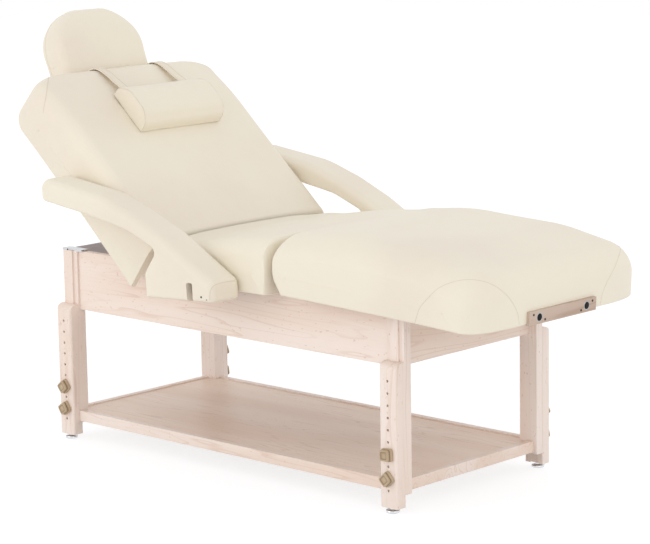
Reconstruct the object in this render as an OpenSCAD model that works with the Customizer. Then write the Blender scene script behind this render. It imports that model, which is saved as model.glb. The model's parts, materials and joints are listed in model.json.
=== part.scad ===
// Spa treatment table: wooden base with four height-adjustable legs, a tilting
// backrest with headrest and neck bolster, a seat and a leg section that meet
// at a lifting knee, and two lift-off arm rests.
// X runs from the head end to the foot end, Y across, Z up, in millimetres.

/* [Base] */
// Length of the base over its posts
base_l = 1426; // [1200:2:1700]
// Width of the base over the outer faces of its posts
base_w = 618; // [540:2:760]
// Height of the top of the base above the floor
base_top = 602; // [520:1:700]
// Height of the foot of the posts above the floor
post_bottom = 51; // [40:1:58]
// Width of a post along the table
post_w = 64; // [50:1:90]
// Thickness of a post across the table
post_t = 28; // [24:1:40]
// Height of the aprons
apron_h = 187; // [120:1:220]
// Thickness of the aprons
apron_t = 20; // [14:1:26]
// Set-back of the end aprons from the posts
apron_inset = 28; // [10:1:60]
// Thickness of the deck board
deck_t = 12; // [8:1:18]

/* [Shelf] */
// Height of the top of the shelf rails above the floor
shelf_top = 92; // [80:1:110]
// Height of the shelf rails
rail_h = 34; // [24:1:36]
// Thickness of the shelf rails
rail_t = 20; // [14:1:26]
// Thickness of the shelf panel
shelf_t = 12; // [8:1:18]
// Depth of the shelf panel below the rails
shelf_lip = 4; // [1:1:8]

/* [Adjustable legs] */
// Height of the bottom of an adjustable leg above the floor
leg_bottom = 16; // [14:1:22]
// Length of an adjustable leg
leg_h = 417; // [400:1:470]
// Thickness of an adjustable leg across the table
leg_t = 36; // [30:1:46]
// Radius of the rounded top edge of a leg
leg_top_r = 25; // [10:1:28]
// Number of height holes in a leg
hole_count = 10; // [8:1:10]
// Spacing of the height holes
hole_pitch = 35; // [30:1:38]
// Height of the lowest hole above the foot of the leg
hole_start = 50; // [44:1:60]
// Diameter of the clamping bolts
bolt_d = 8; // [6:0.5:10]
// Width of the knobs
knob_w = 38; // [30:1:46]
// Depth of the knobs
knob_t = 20; // [14:1:26]
// Diameter of the levelling feet
glide_d = 40; // [30:1:44]
// Height of the levelling foot pads
glide_h = 9; // [6:1:12]

/* [Cushions] */
// Overhang of the cushions past each side of the base
side_overhang = 76; // [60:1:90]
// Overhang of the leg cushion past the foot end of the base
foot_overhang = 311; // [270:1:360]
// Depth of the hem of the cushions below the top of the base
hem_drop = 35; // [28:1:45]
// Height of the side edges of the leg cushion above the base with the top flat
top_rise = 154; // [142:1:170]
// Thickness of the padding on the sides
side_pad = 20; // [16:1:24]
// Rise of the crown at the middle of a cushion
crown = 9; // [0:1:14]
// Draw of the sides of a cushion between its corners
draw = 5; // [0:1:8]
// Length of the backrest from its hinge to its head end
back_l = 685; // [640:1:740]
// Thickness of the ply boards
board_t = 12; // [9:1:15]
// Thickness of the side boards
side_t = 19; // [12:1:22]

/* [Posture] */
// Tilt of the backrest above flat
back_tilt = 42; // [30:1:50]
// Tilt of the seat above flat
seat_tilt = 2.9; // [0.5:0.1:6]
// Tilt of the headrest against the backrest
head_tilt = 26.6; // [15:0.1:28]

/* [Headrest and bolster] */
// Width of the headrest pad
head_w = 372; // [330:2:400]
// Height of the headrest pad
head_h = 240; // [200:2:270]
// Thickness of the headrest pad
head_t = 95; // [70:1:100]
// Spacing of the outlet bores
outlet_spacing = 212; // [190:1:230]
// Diameter of the outlet bores
outlet_d = 22; // [18:0.5:25]
// Length of the bolster
bolster_l = 340; // [290:2:370]
// Width of the flat side of the bolster
bolster_w = 165; // [130:1:180]
// Height of the bolster above the backrest
bolster_h = 66; // [45:1:80]
// Distance of the bolster's middle from the head end of the backrest
bolster_place = 235; // [200:1:300]
// Distance of the bolster and its straps from the middle line, to the far side
bolster_aside = 22; // [0:1:40]
// Width of the bolster straps
strap_w = 48; // [30:1:56]
// Spacing of the bolster straps
strap_spacing = 252; // [220:1:270]

/* [Arm rests] */
// Width of an arm rest
arm_w = 124; // [100:1:140]
// Gap between an arm rest and the cushions
arm_gap = 2; // [1:1:12]
// Radius of the arm rest edges
arm_r = 24; // [14:1:28]

/* [Hidden] */
$fn = 48;
arc_steps = 4;
cut = 1;
run = 0.05;
gap = 0.3;
seam = 2;
least_r = 2;
wide_shares = [-1, -0.985, -0.955, -0.91, -0.84, -0.74, -0.6, -0.3,
    0.3, 0.6, 0.74, 0.84, 0.91, 0.955, 0.985, 1];
narrow_shares = [-1, -0.96, -0.86, -0.68, 0, 0.68, 0.86, 0.96, 1];
SIDES = [-1, 1];

// Base
post_x = base_l / 2 - post_w / 2;
post_y = base_w / 2 - post_t / 2;
tongue_w = 30;
tongue_t = 6;
guide_gap = 0.5;
slot_play = 1;
slot_w = bolt_d + slot_play;
head_r = bolt_d;
head_len = 5;
slot_head_w = 2 * head_r + slot_play;
slot_head_t = head_len + slot_play;
apron_setback = 7;
apron_face = base_w / 2 - apron_setback;
bearer_w = 40;
bearer_h = 50;
bearer_place_shares = [-0.62, 0, 0.62];
cap_t = 2.5;
cap_lip = 12;
cap_screw_r = 3;
shelf_step = 11;
shelf_face = base_w / 2 + shelf_step;
shelf_end_inset = 10;
shelf_side_gap = 1;

// Adjustable legs
leg_y = base_w / 2 + leg_t / 2;
leg_edge_r = 8;
channel_d = tongue_t + guide_gap;
hole_r = bolt_d / 2 + run;
knob_holes = [3, 1];
post_neck = 4;
slot_top = leg_bottom + hole_start + knob_holes[0] * hole_pitch + hole_pitch
    + bolt_d - post_bottom;
knob_step = 8;
knob_r = 9;
stem_r = 5;
stem_len = 34;
glide_edge = 2;

// Tilting sections, in the flat posture
half_w = base_w / 2 + side_overhang;
hem_z = base_top - hem_drop;
top_z = base_top + top_rise;
foot_x = base_l / 2 + foot_overhang;
back_x = -335;
back_hinge_rise = 13;
back_z = base_top + back_hinge_rise;
heel = 45;
back_max = 65;
seat_x = -176;
seat_hinge_rise = 30;
seat_z = base_top + seat_hinge_rise;
seat_max = 10;
knee_x = 262;
knee_rise_flat = 26;
knee_z = base_top + knee_rise_flat;
pad_inset = 23;
pad_x = base_l / 2 - pad_inset;
pad_r = 8;
rail_lift = 2;
rail_low = base_top + rail_lift;
rail_deep = 32;
board_low = rail_low + rail_deep;
board_top = board_low + board_t;
rail_w = 30;
rail_inset = 109;
rail_y = base_w / 2 - rail_inset;
in_w = half_w - side_pad;
hem_turn = 5;
side_low = hem_z + hem_turn;
back_rise = 137;
back_top = back_z + back_rise;
swing_r = 147;
end_board_t = 19;
outlet_w = 300;
outlet_h = 38;
outlet_lift = 1;
outlet_low = hem_z + outlet_lift;
outlet_z = outlet_low + outlet_h / 2;
outlet_proud = 10;
outlet_r = outlet_d / 2;
outlet_screw_r = 2.5;
outlet_screw_t = 1;
outlet_screw_place_shares = [[-0.44, 0.26], [-0.27, -0.26], [0.27, -0.26], [0.44, 0.26]];
foot_pad = 34;
foot_board_x = foot_x - foot_pad;
foot_neck_l = 144;
foot_neck_x = foot_x - foot_neck_l;
foot_corner_w = 146;
foot_neck_w = half_w - foot_corner_w;
back_neck_l = 125;
back_neck = back_l - back_neck_l;
back_corner_w = 121;
back_neck_w = half_w - back_corner_w;
head_pad = 45;
back_end = back_l - head_pad;
back_head_x = back_x - back_l;
back_heel_x = back_x + heel;

// Edges of the three large cushions
hem_share = 0.08;
end_share = 0.25;
end_look = 0.8;
hem_r = 6;
top_r = 900;
heel_r = 22;
heel_cut = 24;
head_flat = 180;
head_fall = 22;
head_edge_r = 52;
head_hem_r = 26;
back_roll = 60;
back_roll_w = 34;
head_plan_l = 78;
head_plan_w = 127;
seat_start = 54;
seat_hem_r = 4;
seat_undercut = 26;
seat_undercut_r = 8;
fold_gap = 1;
fold_drop = 2;
fold_r = 30;
seat_edge_drop = 40;
seat_edge_r = 42;
seat_mid = 420;
seat_mid_drop = 48;
seat_mid_r = 400;
seat_dip = 230;
seat_dip_drop = 69;
seat_dip_r = 300;
seat_back_drop = 66;
seat_back_r = 20;
seat_roll = 52;
seat_roll_w = 56;
leg_undercut = 34;
leg_undercut_r = 10;
foot_drop = 32;
foot_edge_r = 78;
foot_flat = 230;
foot_top_r = 620;
knee_flat = 200;
knee_edge_drop = 30;
knee_edge_r = 46;
leg_side_r = 96;
foot_corner_r = 80;

// Hinges
ear_t = 6;
ear_gap = 0.5;
hinge_pin_r = 4;
hinge_plate_t = 3;
base_plate_t = 2;
ear_play = 1;
hinge_plate_l = 44;
hinge_w = 3 * ear_t + 2 * ear_gap;
back_ear_r = 12;
seat_ear_r = 9;
knee_ear_r = 8;
pin_head_r = 6.5;
pin_head_t = 2.5;
hinge_inset = 59;
back_hinge_y = base_w / 2 - hinge_inset;
seat_hinge_y = back_hinge_y;
knee_hinge_y = 130;

// Postures
knee_radius = norm([knee_x - seat_x, knee_z - seat_z]);
knee_rise = knee_radius * sin(atan2(knee_z - seat_z, knee_x - seat_x) + seat_tilt);
pad_z = base_top + gap + pad_r;
pad_reach = norm([pad_x - knee_x, pad_z - knee_z]);
pad_angle = atan2(pad_z - knee_z, pad_x - knee_x);
leg_tilt = pad_angle - asin((pad_z - seat_z - knee_rise) / pad_reach);

// Headrest: its hinge lies behind the pad
head_axis_s = 87;
head_axis_n = outlet_z - back_z;
head_board_t = 10;
head_off = 22;
head_low = -40;
shell_inset = 24;
fork_rod_in = 125;
fork_bar_t = 20;
fork_bar_h = 16;
fork_bar_gap = 23;
fork_bar_x = head_axis_s - fork_bar_t - fork_bar_gap;
head_knuckle_r = 11;
head_knuckle_w = 40;
shell_side = 30;
shell_top_side = 84;
shell_shoulder = 96;
head_crown = 6;
head_draw = 3;
head_plan_shares = [0.55, 0.36];
head_roll_shares = [0.32, 0.3];
head_hem_share = 0.3;
head_outline_shares = [[0, 0, 0.06], [1, 0, 0.125], [1, 0.94, 0.14], [0.25, 1, 0.62],
    [0, 0.81, 0.17]];

// Bolster and its straps
bolster_x = back_head_x + bolster_place;
bolster_low = back_top + crown;
bolster_roll = 7;
bolster_roll_w = 12;
bolster_bulge = 3;
bolster_outline_shares = [[-0.5, 0, 0.05], [0.5, 0, 0.05], [0.488, 0.45, 0.2],
    [0.25, 1, 0.28], [-0.2, 1, 0.36], [-0.488, 0.4, 0.18]];
strap_t = 3;
strap_step = 30;

// Arm rests: outline as shares of their length and height, and the slot that
// drops on the bracket
arm_in = half_w + arm_gap;
arm_drop = 19;
arm_low = hem_z - arm_drop;
arm_foot_x = 152;
arm_l = 716;
arm_h = 334;
arm_outline_shares = [[0, 0.012, 0.014], [0, 0.162, 0.031], [0.282, 0.533, 0.42],
    [0.45, 0.707, 0.42], [0.631, 0.856, 0.56], [1, 1, 0.034], [1, 0.79, 0.028],
    [0.743, 0.7, 0.42], [0.492, 0.587, 0.28], [0.33, 0.425, 0.031], [0.38, 0.293, 0.031],
    [0.38, 0, 0.011]];
arm_slot_x = 66;
arm_slot_w = 25;
arm_slot_h = 52;
bracket_h = 40;
bracket_share = 0.8;
bracket_l = 90;
bracket_t = 5;
bracket_w = 60;
bracket_screw_r = 6;
bracket_screw_t = 3;

// Position of the middle of the whole table, so that the origin lies under it
head_back = head_off - head_board_t;
head_corner_u = (head_h + head_low - shell_inset) * cos(back_tilt + head_tilt);
head_corner_v = head_back * sin(back_tilt + head_tilt);
head_axis_x = back_x - (back_l + head_axis_s) * cos(back_tilt) + head_axis_n * sin(back_tilt);
rear_x = head_axis_x - head_corner_u + head_corner_v;
front_dx = foot_x + outlet_proud - knee_x;
front_dz = outlet_low - knee_z;
knee_now_x = seat_x + knee_radius * cos(atan2(knee_z - seat_z, knee_x - seat_x) + seat_tilt);
front_top_dz = outlet_low + outlet_h - knee_z;
front_x = knee_now_x + front_dx * cos(leg_tilt)
    + max(-front_dz * sin(-leg_tilt), front_top_dz * sin(leg_tilt));
shift_x = -(rear_x + front_x) / 2;

// Helpers for outlines and padded forms
function unit(v) = v / norm(v);
function wrap(a) = a > 180 ? a - 360 : a < -180 ? a + 360 : a;
function arc_of(a, b, c, r, n) =
    let(u = unit(a - b), v = unit(c - b), half = acos(u * v) / 2,
        mid = b + unit(u + v) * r / sin(half),
        p = b + u * r / tan(half) - mid, q = b + v * r / tan(half) - mid,
        start = atan2(p[1], p[0]), turn = wrap(atan2(q[1], q[0]) - start))
    [for (i = [0:n]) mid + r * [cos(start + turn * i / n), sin(start + turn * i / n)]];
function xy(p) = [p[0], p[1]];
function turned(u) = [u[1], -u[0]];
function edge_share(n, hem, end) = n[1] < -0.5 ? hem : abs(n[0]) > end_look ? end : 1;
function shrunk(p, d, hem, end) = [for (i = [0:len(p) - 1])
    let(k = len(p), b = xy(p[i]),
        m = turned(unit(b - xy(p[(i + k - 1) % k]))), n = turned(unit(xy(p[(i + 1) % k]) - b)),
        e = d * edge_share(m, hem, end), f = d * edge_share(n, hem, end), det = m[0] * n[1] - m[1] * n[0],
        step = abs(det) < 0.08 ? (m * e + n * f) / (1 + m * n)
            : [e * n[1] - f * m[1], m[0] * f - n[0] * e] / det)
    [b[0] - step[0], b[1] - step[1],
        max(least_r, p[i][2] - d * min(edge_share(m, hem, end), edge_share(n, hem, end))
            * sign(det))]];
function rounded(p, n) = [for (i = [0:len(p) - 1])
    let(k = len(p)) each arc_of(xy(p[(i + k - 1) % k]), xy(p[i]), xy(p[(i + 1) % k]), p[i][2], n)];
function outward(p) = [for (i = [0:len(p) - 1])
    let(k = len(p)) turned(unit(p[(i + 1) % k] - p[(i + k - 1) % k]))];
function ease(t) = 1 - sqrt(1 - min(1, max(0, t)) ^ 2);
function sides_of(n, m) = [for (j = [0:m - 2]) for (i = [0:n - 1])
    each [[j * n + i, j * n + (i + 1) % n, (j + 1) * n + (i + 1) % n],
          [j * n + i, (j + 1) * n + (i + 1) % n, (j + 1) * n + i]]];
function strip(n) = concat([for (i = [0:floor(n / 2) - 2]) each
    [[i, n - 2 - i, n - 1 - i], [i, i + 1, n - 2 - i]]],
    n % 2 == 1 ? [[(n - 3) / 2, (n - 1) / 2, (n + 1) / 2]] : []);
function end_faces(n, start, flat, last) =
    let(faces = flat ? [[for (i = [0:n - 1]) i]] : strip(n))
    [for (f = faces) [for (i = [0:len(f) - 1]) start + (last ? f[i] : f[len(f) - 1 - i])]];

// Padded form: a side outline carried across the width. The edges roll in by
// roll[0] over the last roll[1] of the width, by shares hem and end of it on the
// faces that look down and along the table. The end at far_u is rounded in plan
// by plan[0] along and plan[1] across, the top has a crown and the sides are
// drawn in between the corners.
module padded_form(outline, w, stations, roll, plan, far_u, rise, pull, hem, end) {
    low_u = min([for (p = outline) p[0]]);
    high_u = max([for (p = outline) p[0]]);
    near_u = far_u == high_u ? low_u : high_u;
    n = len(outline) * (arc_steps + 1);
    m = len(stations);
    points = [for (s = stations) each
        let(y = s * w, inset = roll[0] * ease((abs(y) - w + roll[1]) / roll[1]),
            bite = plan[0] * ease((abs(y) - w + plan[1]) / plan[1]) / abs(far_u - near_u),
            lift = rise * (1 - s * s),
            ring = rounded(shrunk(outline, inset, hem, end), arc_steps),
            normals = outward(ring))
        [for (i = [0:n - 1])
            let(along = (ring[i][0] - low_u) / (high_u - low_u))
            [near_u + (ring[i][0] - near_u) * (1 - bite),
             y * (1 - pull / w * sin(180 * min(1, max(0, along)))),
             ring[i][1] + lift * max(0, normals[i][1])]]];
    faces = concat(sides_of(n, m),
        end_faces(n, 0, pull == 0, false), end_faces(n, (m - 1) * n, pull == 0, true));
    polyhedron(points, faces, convexity = 6);
}

// Movements of the sections from flat into their rest posture
module place(x, z, angle) {
    translate([x, 0, z]) rotate([0, angle, 0]) translate([-x, 0, -z]) children();
}
module at_middle() { translate([shift_x, 0, 0]) children(); }
module on_back() { at_middle() place(back_x, back_z, back_tilt) children(); }
module on_seat() { at_middle() place(seat_x, seat_z, -seat_tilt) children(); }
module on_leg() { on_seat() place(knee_x, knee_z, seat_tilt + leg_tilt) children(); }
module on_head() {
    on_back() translate([back_x - back_l - head_axis_s, 0, back_z + head_axis_n])
        rotate([0, head_tilt, 0]) children();
}
module block(low, high) {
    translate(low) cube(high - low);
}
module across(x, y, z, r, len) {
    translate([x, y - len / 2, z]) rotate([-90, 0, 0]) cylinder(r = r, h = len);
}
module along(x, y, z, r, len) {
    translate([x, y, z]) rotate([0, 90, 0]) cylinder(r = r, h = len);
}
module rounded_square(w, r) {
    square([w - 2 * r, w], center = true);
    square([w, w - 2 * r], center = true);
    for (sx = SIDES) for (sy = SIDES)
        translate([sx * (w / 2 - r), sy * (w / 2 - r)]) circle(r = r);
}

// Base frame
module post(sx, sy) {
    color("burlywood") at_middle() translate([sx * post_x, sy * post_y, post_bottom])
        scale([1, sy, 1]) difference() {
            union() {
                block([-post_w / 2, -post_t / 2, 0],
                    [post_w / 2, post_t / 2, base_top - post_bottom]);
                block([-tongue_w / 2, 0, 0],
                    [tongue_w / 2, post_t / 2 + tongue_t, base_top - post_bottom]);
            }
            block([-slot_w / 2, post_t / 2 - cut, -cut],
                [slot_w / 2, post_t / 2 + tongue_t + cut, slot_top]);
            block([-slot_w / 2, post_t / 2 - slot_head_t - post_neck, -cut],
                [slot_w / 2, post_t / 2, slot_top]);
            block([-slot_head_w / 2, post_t / 2 - slot_head_t - post_neck, -cut],
                [slot_head_w / 2, post_t / 2 - post_neck, slot_top + head_r]);
        }
}
module apron_long(sy) {
    color("burlywood") at_middle() translate([0, sy * (apron_face - apron_t / 2), 0])
        block([-(base_l / 2 - post_w), -apron_t / 2, base_top - apron_h],
            [base_l / 2 - post_w, apron_t / 2, base_top]);
}
module apron_end(sx) {
    color("burlywood") at_middle()
        translate([sx * (base_l / 2 - apron_inset - apron_t / 2), 0, 0])
        block([-apron_t / 2, -(base_w / 2 - post_t), base_top - apron_h],
            [apron_t / 2, base_w / 2 - post_t, base_top - deck_t]);
}
module deck() {
    color("slategray") at_middle()
        block([-base_l / 2, -(base_w / 2 - post_t), base_top - deck_t],
            [base_l / 2, base_w / 2 - post_t, base_top]);
}
module deck_bearers() {
    color("burlywood") at_middle() for (s = bearer_place_shares)
        translate([s * base_l / 2, 0, 0])
        block([-bearer_w / 2, -(apron_face - apron_t), base_top - deck_t - bearer_h],
            [bearer_w / 2, apron_face - apron_t, base_top - deck_t]);
}
module corner_caps() {
    color("gainsboro") at_middle() for (sx = SIDES) for (sy = SIDES)
        translate([sx * post_x, sy * post_y, base_top]) scale([sx, sy, 1]) {
            block([-post_w / 2, -post_t / 2, 0],
                [post_w / 2 + cap_t, post_t / 2 + tongue_t + cap_t, cap_t]);
            block([-post_w / 2, post_t / 2 + tongue_t, -cap_lip],
                [post_w / 2 + cap_t, post_t / 2 + tongue_t + cap_t, cap_t]);
            block([post_w / 2, -post_t / 2, -cap_lip],
                [post_w / 2 + cap_t, post_t / 2 + tongue_t + cap_t, cap_t]);
        }
}
module cap_screws() {
    color("silver") at_middle() for (sx = SIDES) for (sy = SIDES)
        translate([sx * post_x, sy * (post_y + post_t / 2 + tongue_t + cap_t),
            base_top - cap_lip / 2])
        rotate([-90 * sy, 0, 0]) cylinder(r1 = cap_screw_r, r2 = cap_screw_r / 2, h = cap_t / 2);
}

// Shelf
module shelf_rails() {
    color("burlywood") at_middle() {
        for (sy = SIDES) translate([0, sy * (shelf_face - rail_t / 2), 0])
            block([-(base_l / 2 - post_w - shelf_side_gap), -rail_t / 2, shelf_top - rail_h],
                [base_l / 2 - post_w - shelf_side_gap, rail_t / 2, shelf_top]);
        for (sx = SIDES) translate([sx * (base_l / 2 - shelf_end_inset - rail_t / 2), 0, 0])
            block([-rail_t / 2, -(base_w / 2 - post_t), shelf_top - rail_h],
                [rail_t / 2, base_w / 2 - post_t, shelf_top]);
    }
}
module shelf_panel() {
    end_x = base_l / 2 - shelf_end_inset - rail_t;
    side_x = base_l / 2 - post_w - shelf_side_gap;
    color("tan") at_middle() difference() {
        block([-end_x, -(shelf_face - rail_t), shelf_top - shelf_lip - shelf_t],
            [end_x, shelf_face - rail_t, shelf_top - shelf_lip]);
        for (sx = SIDES) for (sy = SIDES)
            translate([sx * end_x, sy * (shelf_face - rail_t), shelf_top - shelf_lip - shelf_t / 2])
            cube([2 * (end_x - side_x), 2 * (shelf_face - rail_t - base_w / 2 + post_t),
                shelf_t + 2 * cut], center = true);
    }
}

// Adjustable legs, their feet and knobs
module leg_blank() {
    difference() {
        linear_extrude(leg_h) difference() {
            union() {
                translate([-post_w / 2, -leg_t / 2]) square([post_w, leg_t - leg_edge_r]);
                translate([-post_w / 2 + leg_edge_r, 0])
                    square([post_w - 2 * leg_edge_r, leg_t / 2]);
                for (sx = SIDES) translate([sx * (post_w / 2 - leg_edge_r), leg_t / 2 - leg_edge_r])
                    circle(r = leg_edge_r);
            }
            translate([-(tongue_w / 2 + guide_gap), -leg_t / 2 - cut])
                square([tongue_w + 2 * guide_gap, channel_d + cut]);
        }
        translate([0, leg_t / 2 - leg_top_r, leg_h - leg_top_r]) rotate([90, 0, 90])
            linear_extrude(post_w + 2 * cut, center = true) difference() {
                square(leg_top_r + cut);
                circle(r = leg_top_r);
            }
        for (i = [0:hole_count - 1]) across(0, 0, hole_start + i * hole_pitch,
            hole_r, leg_t + 2 * cut);
        translate([0, 0, -cut]) cylinder(r = stem_r + run, h = stem_len + cut);
    }
}
module leg_at(sx, sy) {
    at_middle() translate([sx * post_x, sy * leg_y, leg_bottom]) scale([1, sy, 1]) children();
}
module adjustable_leg(sx, sy) { color("burlywood") leg_at(sx, sy) leg_blank(); }
module glide(sx, sy) {
    color("silver") leg_at(sx, sy) translate([0, 0, -leg_bottom]) rotate_extrude()
        polygon([[0, 0], [glide_d / 2 - glide_edge, 0], [glide_d / 2, glide_edge],
            [glide_d / 2, glide_h - glide_edge], [glide_d / 2 - glide_edge, glide_h],
            [stem_r * 2, glide_h], [stem_r, glide_h + glide_edge],
            [stem_r, leg_bottom + stem_len - glide_edge], [0, leg_bottom + stem_len - glide_edge]]);
}
module knob(sx, sy, hole) {
    bolt_in = leg_t + post_neck + gap;
    color("peru") leg_at(sx, sy)
        translate([0, leg_t / 2 + gap, hole_start + hole * hole_pitch]) rotate([-90, 0, 0]) {
            linear_extrude(knob_t - knob_step) rounded_square(knob_w, knob_r);
            linear_extrude(knob_t) rounded_square(knob_w - knob_step, knob_r - knob_step / 4);
            translate([0, 0, -bolt_in]) cylinder(r = bolt_d / 2, h = bolt_in + knob_t / 2);
            translate([0, 0, -bolt_in - head_len]) cylinder(r = head_r - run, h = head_len);
        }
}

// Hinges: a clevis with two ears, a tongue between them and a pin
module ears(x, z, y, r, ys) {
    for (k = ys) across(x, y + k * (ear_t + ear_gap), z, r, ear_t);
}
module hinge_pin(x, z, y) {
    across(x, y, z, hinge_pin_r, hinge_w);
    for (s = SIDES) across(x, y + s * (hinge_w + pin_head_t) / 2, z, pin_head_r, pin_head_t);
}
module clevis(x, z, y, r, plate_x, plate_low, plate_high) {
    difference() {
        union() {
            ears(x, z, y, r, SIDES);
            for (s = SIDES) translate([0, y + s * (ear_t + ear_gap), 0])
                block([min(x - r, plate_x), -ear_t / 2, min(z, plate_low)],
                    [max(x + r, plate_x), ear_t / 2, max(z, plate_high)]);
            translate([0, y, 0]) block([min(x - r, plate_x), -hinge_w / 2, plate_low],
                [max(x + r, plate_x), hinge_w / 2, plate_high]);
        }
        across(x, y, z, hinge_pin_r + run, hinge_w + 2 * cut);
    }
}
module tongue(x, z, y, r, plate_x, plate_low, plate_high) {
    near_x = x + sign(plate_x - x) * (r + 2 * seam);
    difference() {
        union() {
            ears(x, z, y, r, [0]);
            translate([0, y, 0]) block([min(x, plate_x), -ear_t / 2, min(z, plate_low)],
                [max(x, plate_x), ear_t / 2, max(z, plate_high)]);
            translate([0, y, 0]) block([min(near_x, plate_x), -hinge_w / 2, plate_low],
                [max(near_x, plate_x), hinge_w / 2, plate_high]);
        }
        across(x, y, z, hinge_pin_r + run, ear_t + 2 * cut);
    }
}
module back_hinge_clevises() {
    color("dimgray") at_middle() for (sy = SIDES)
        clevis(back_x, back_z, sy * back_hinge_y, back_ear_r, back_x - hinge_plate_l,
            base_top, base_top + base_plate_t);
}
module back_hinge_pins() {
    color("silver") at_middle() for (sy = SIDES) hinge_pin(back_x, back_z, sy * back_hinge_y);
}
module back_hinge_tongues() {
    color("dimgray") on_back() for (sy = SIDES)
        tongue(back_x, back_z, sy * back_hinge_y, back_ear_r - ear_play,
            back_x - hinge_plate_l - back_ear_r, board_low - hinge_plate_t, board_low);
}
module seat_hinge_clevises() {
    color("dimgray") at_middle() for (sy = SIDES)
        clevis(seat_x, seat_z, sy * seat_hinge_y, seat_ear_r, seat_x + hinge_plate_l,
            base_top, base_top + base_plate_t);
}
module seat_hinge_pins() {
    color("silver") at_middle() for (sy = SIDES) hinge_pin(seat_x, seat_z, sy * seat_hinge_y);
}
module seat_hinge_tongues() {
    color("dimgray") on_seat() for (sy = SIDES)
        tongue(seat_x, seat_z, sy * seat_hinge_y, seat_ear_r - ear_play,
            seat_x + hinge_plate_l + seat_ear_r, board_low - hinge_plate_t, board_low);
}
module knee_hinge_clevises() {
    color("dimgray") on_seat() for (sy = SIDES) {
        difference() {
            union() {
                ears(knee_x, knee_z, sy * knee_hinge_y, knee_ear_r, SIDES);
                for (s = SIDES) translate([0, sy * knee_hinge_y + s * (ear_t + ear_gap), 0])
                    block([knee_x - hinge_plate_l, -ear_t / 2, knee_z],
                        [knee_x, ear_t / 2, board_low]);
                translate([0, sy * knee_hinge_y, 0])
                    block([knee_x - hinge_plate_l, -hinge_w / 2, board_low - hinge_plate_t],
                        [knee_x - knee_ear_r - ear_play, hinge_w / 2, board_low]);
            }
            across(knee_x, sy * knee_hinge_y, knee_z, hinge_pin_r + run, hinge_w + 2 * cut);
        }
        hinge_bolt_y = sy * knee_hinge_y;
        hinge_pin(knee_x, knee_z, hinge_bolt_y);
    }
}
module knee_hinge_tongues() {
    color("dimgray") on_leg() for (sy = SIDES) difference() {
        union() {
            ears(knee_x, knee_z, sy * knee_hinge_y, knee_ear_r, [0]);
            translate([0, sy * knee_hinge_y, 0])
                block([knee_x, -ear_t / 2, knee_z],
                    [knee_x + hinge_plate_l, ear_t / 2, board_low]);
            translate([0, sy * knee_hinge_y, 0])
                block([knee_x + knee_ear_r + ear_play + hinge_plate_t, -hinge_w / 2,
                    board_low - hinge_plate_t],
                    [knee_x + hinge_plate_l, hinge_w / 2, board_low]);
        }
        across(knee_x, sy * knee_hinge_y, knee_z, hinge_pin_r + run, ear_t + 2 * cut);
    }
}

// Backrest, built flat with its head end towards -X
module backrest_board() {
    color("tan") on_back() {
        block([back_x - back_neck, -in_w, board_low], [back_x + heel / 2, in_w, board_top]);
        block([back_x - back_end, -back_neck_w, board_low],
            [back_x - back_neck, back_neck_w, board_top]);
    }
}
module backrest_rails() {
    color("burlywood") on_back() {
        for (sy = SIDES) {
            translate([0, sy * rail_y, 0]) block([back_x - back_neck, -rail_w / 2, rail_low],
                [back_x + hinge_pin_r, rail_w / 2, board_low]);
            translate([0, sy * (in_w - side_t / 2), 0])
                block([back_x - back_neck, -side_t / 2, side_low],
                    [back_x + heel - side_t, side_t / 2, board_low]);
        }
        difference() {
            block([back_x - back_end, -back_neck_w, side_low],
                [back_x - back_end + end_board_t, back_neck_w, board_low]);
            for (sy = SIDES) along(back_x - back_end - cut, sy * outlet_spacing / 2, outlet_z,
                outlet_r, end_board_t + 2 * cut);
        }
    }
}
module backrest_outline_form() {
    outline = [
        [back_heel_x, hem_z, hem_r], [back_heel_x, back_top, heel_r],
        [back_head_x + head_flat, back_top, top_r],
        [back_head_x, back_top - head_fall, head_edge_r],
        [back_head_x, hem_z, head_hem_r]];
    padded_form(outline, half_w, wide_shares, [back_roll, back_roll_w],
        [head_plan_l, head_plan_w], back_head_x, crown, draw, hem_share, end_share);
}
module backrest_cushion() {
    color("antiquewhite") on_back() difference() {
        backrest_outline_form();
        block([back_x - back_neck - gap, -in_w - gap, hem_z - cut],
            [back_heel_x + cut, in_w + gap, board_top]);
        block([back_x - back_end - gap, -back_neck_w - gap, hem_z - cut],
            [back_x - back_neck + cut, back_neck_w + gap, board_top]);
        block([back_head_x - cut, -outlet_w / 2 - gap, hem_z - cut],
            [back_x - back_end, outlet_w / 2 + gap, outlet_low + outlet_h + gap]);
        translate([back_heel_x - heel / 2 + seam, 0, board_top])
            rotate([0, heel_cut, 0]) block([0, -in_w, -heel], [2 * heel, in_w, heel]);
    }
}
module head_outlet_block() {
    color("burlywood") on_back() difference() {
        block([back_head_x - outlet_proud, -outlet_w / 2, outlet_low],
            [back_x - back_end, outlet_w / 2, outlet_low + outlet_h]);
        for (sy = SIDES) along(back_head_x - outlet_proud - cut, sy * outlet_spacing / 2,
            outlet_z, outlet_r, back_l - back_end + outlet_proud + 2 * cut);
    }
}

// Bolster and the straps that carry it over the head end of the backrest
module bolster() {
    outline = [for (p = bolster_outline_shares)
        [bolster_x + p[0] * bolster_w, bolster_low + p[1] * bolster_h, p[2] * bolster_w]];
    color("antiquewhite") on_back() translate([0, bolster_aside, 0])
        padded_form(outline, bolster_l / 2, narrow_shares, [bolster_roll, bolster_roll_w],
            [0, bolster_roll_w], outline[1][0], 0, -bolster_bulge, 1, 1);
}
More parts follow.
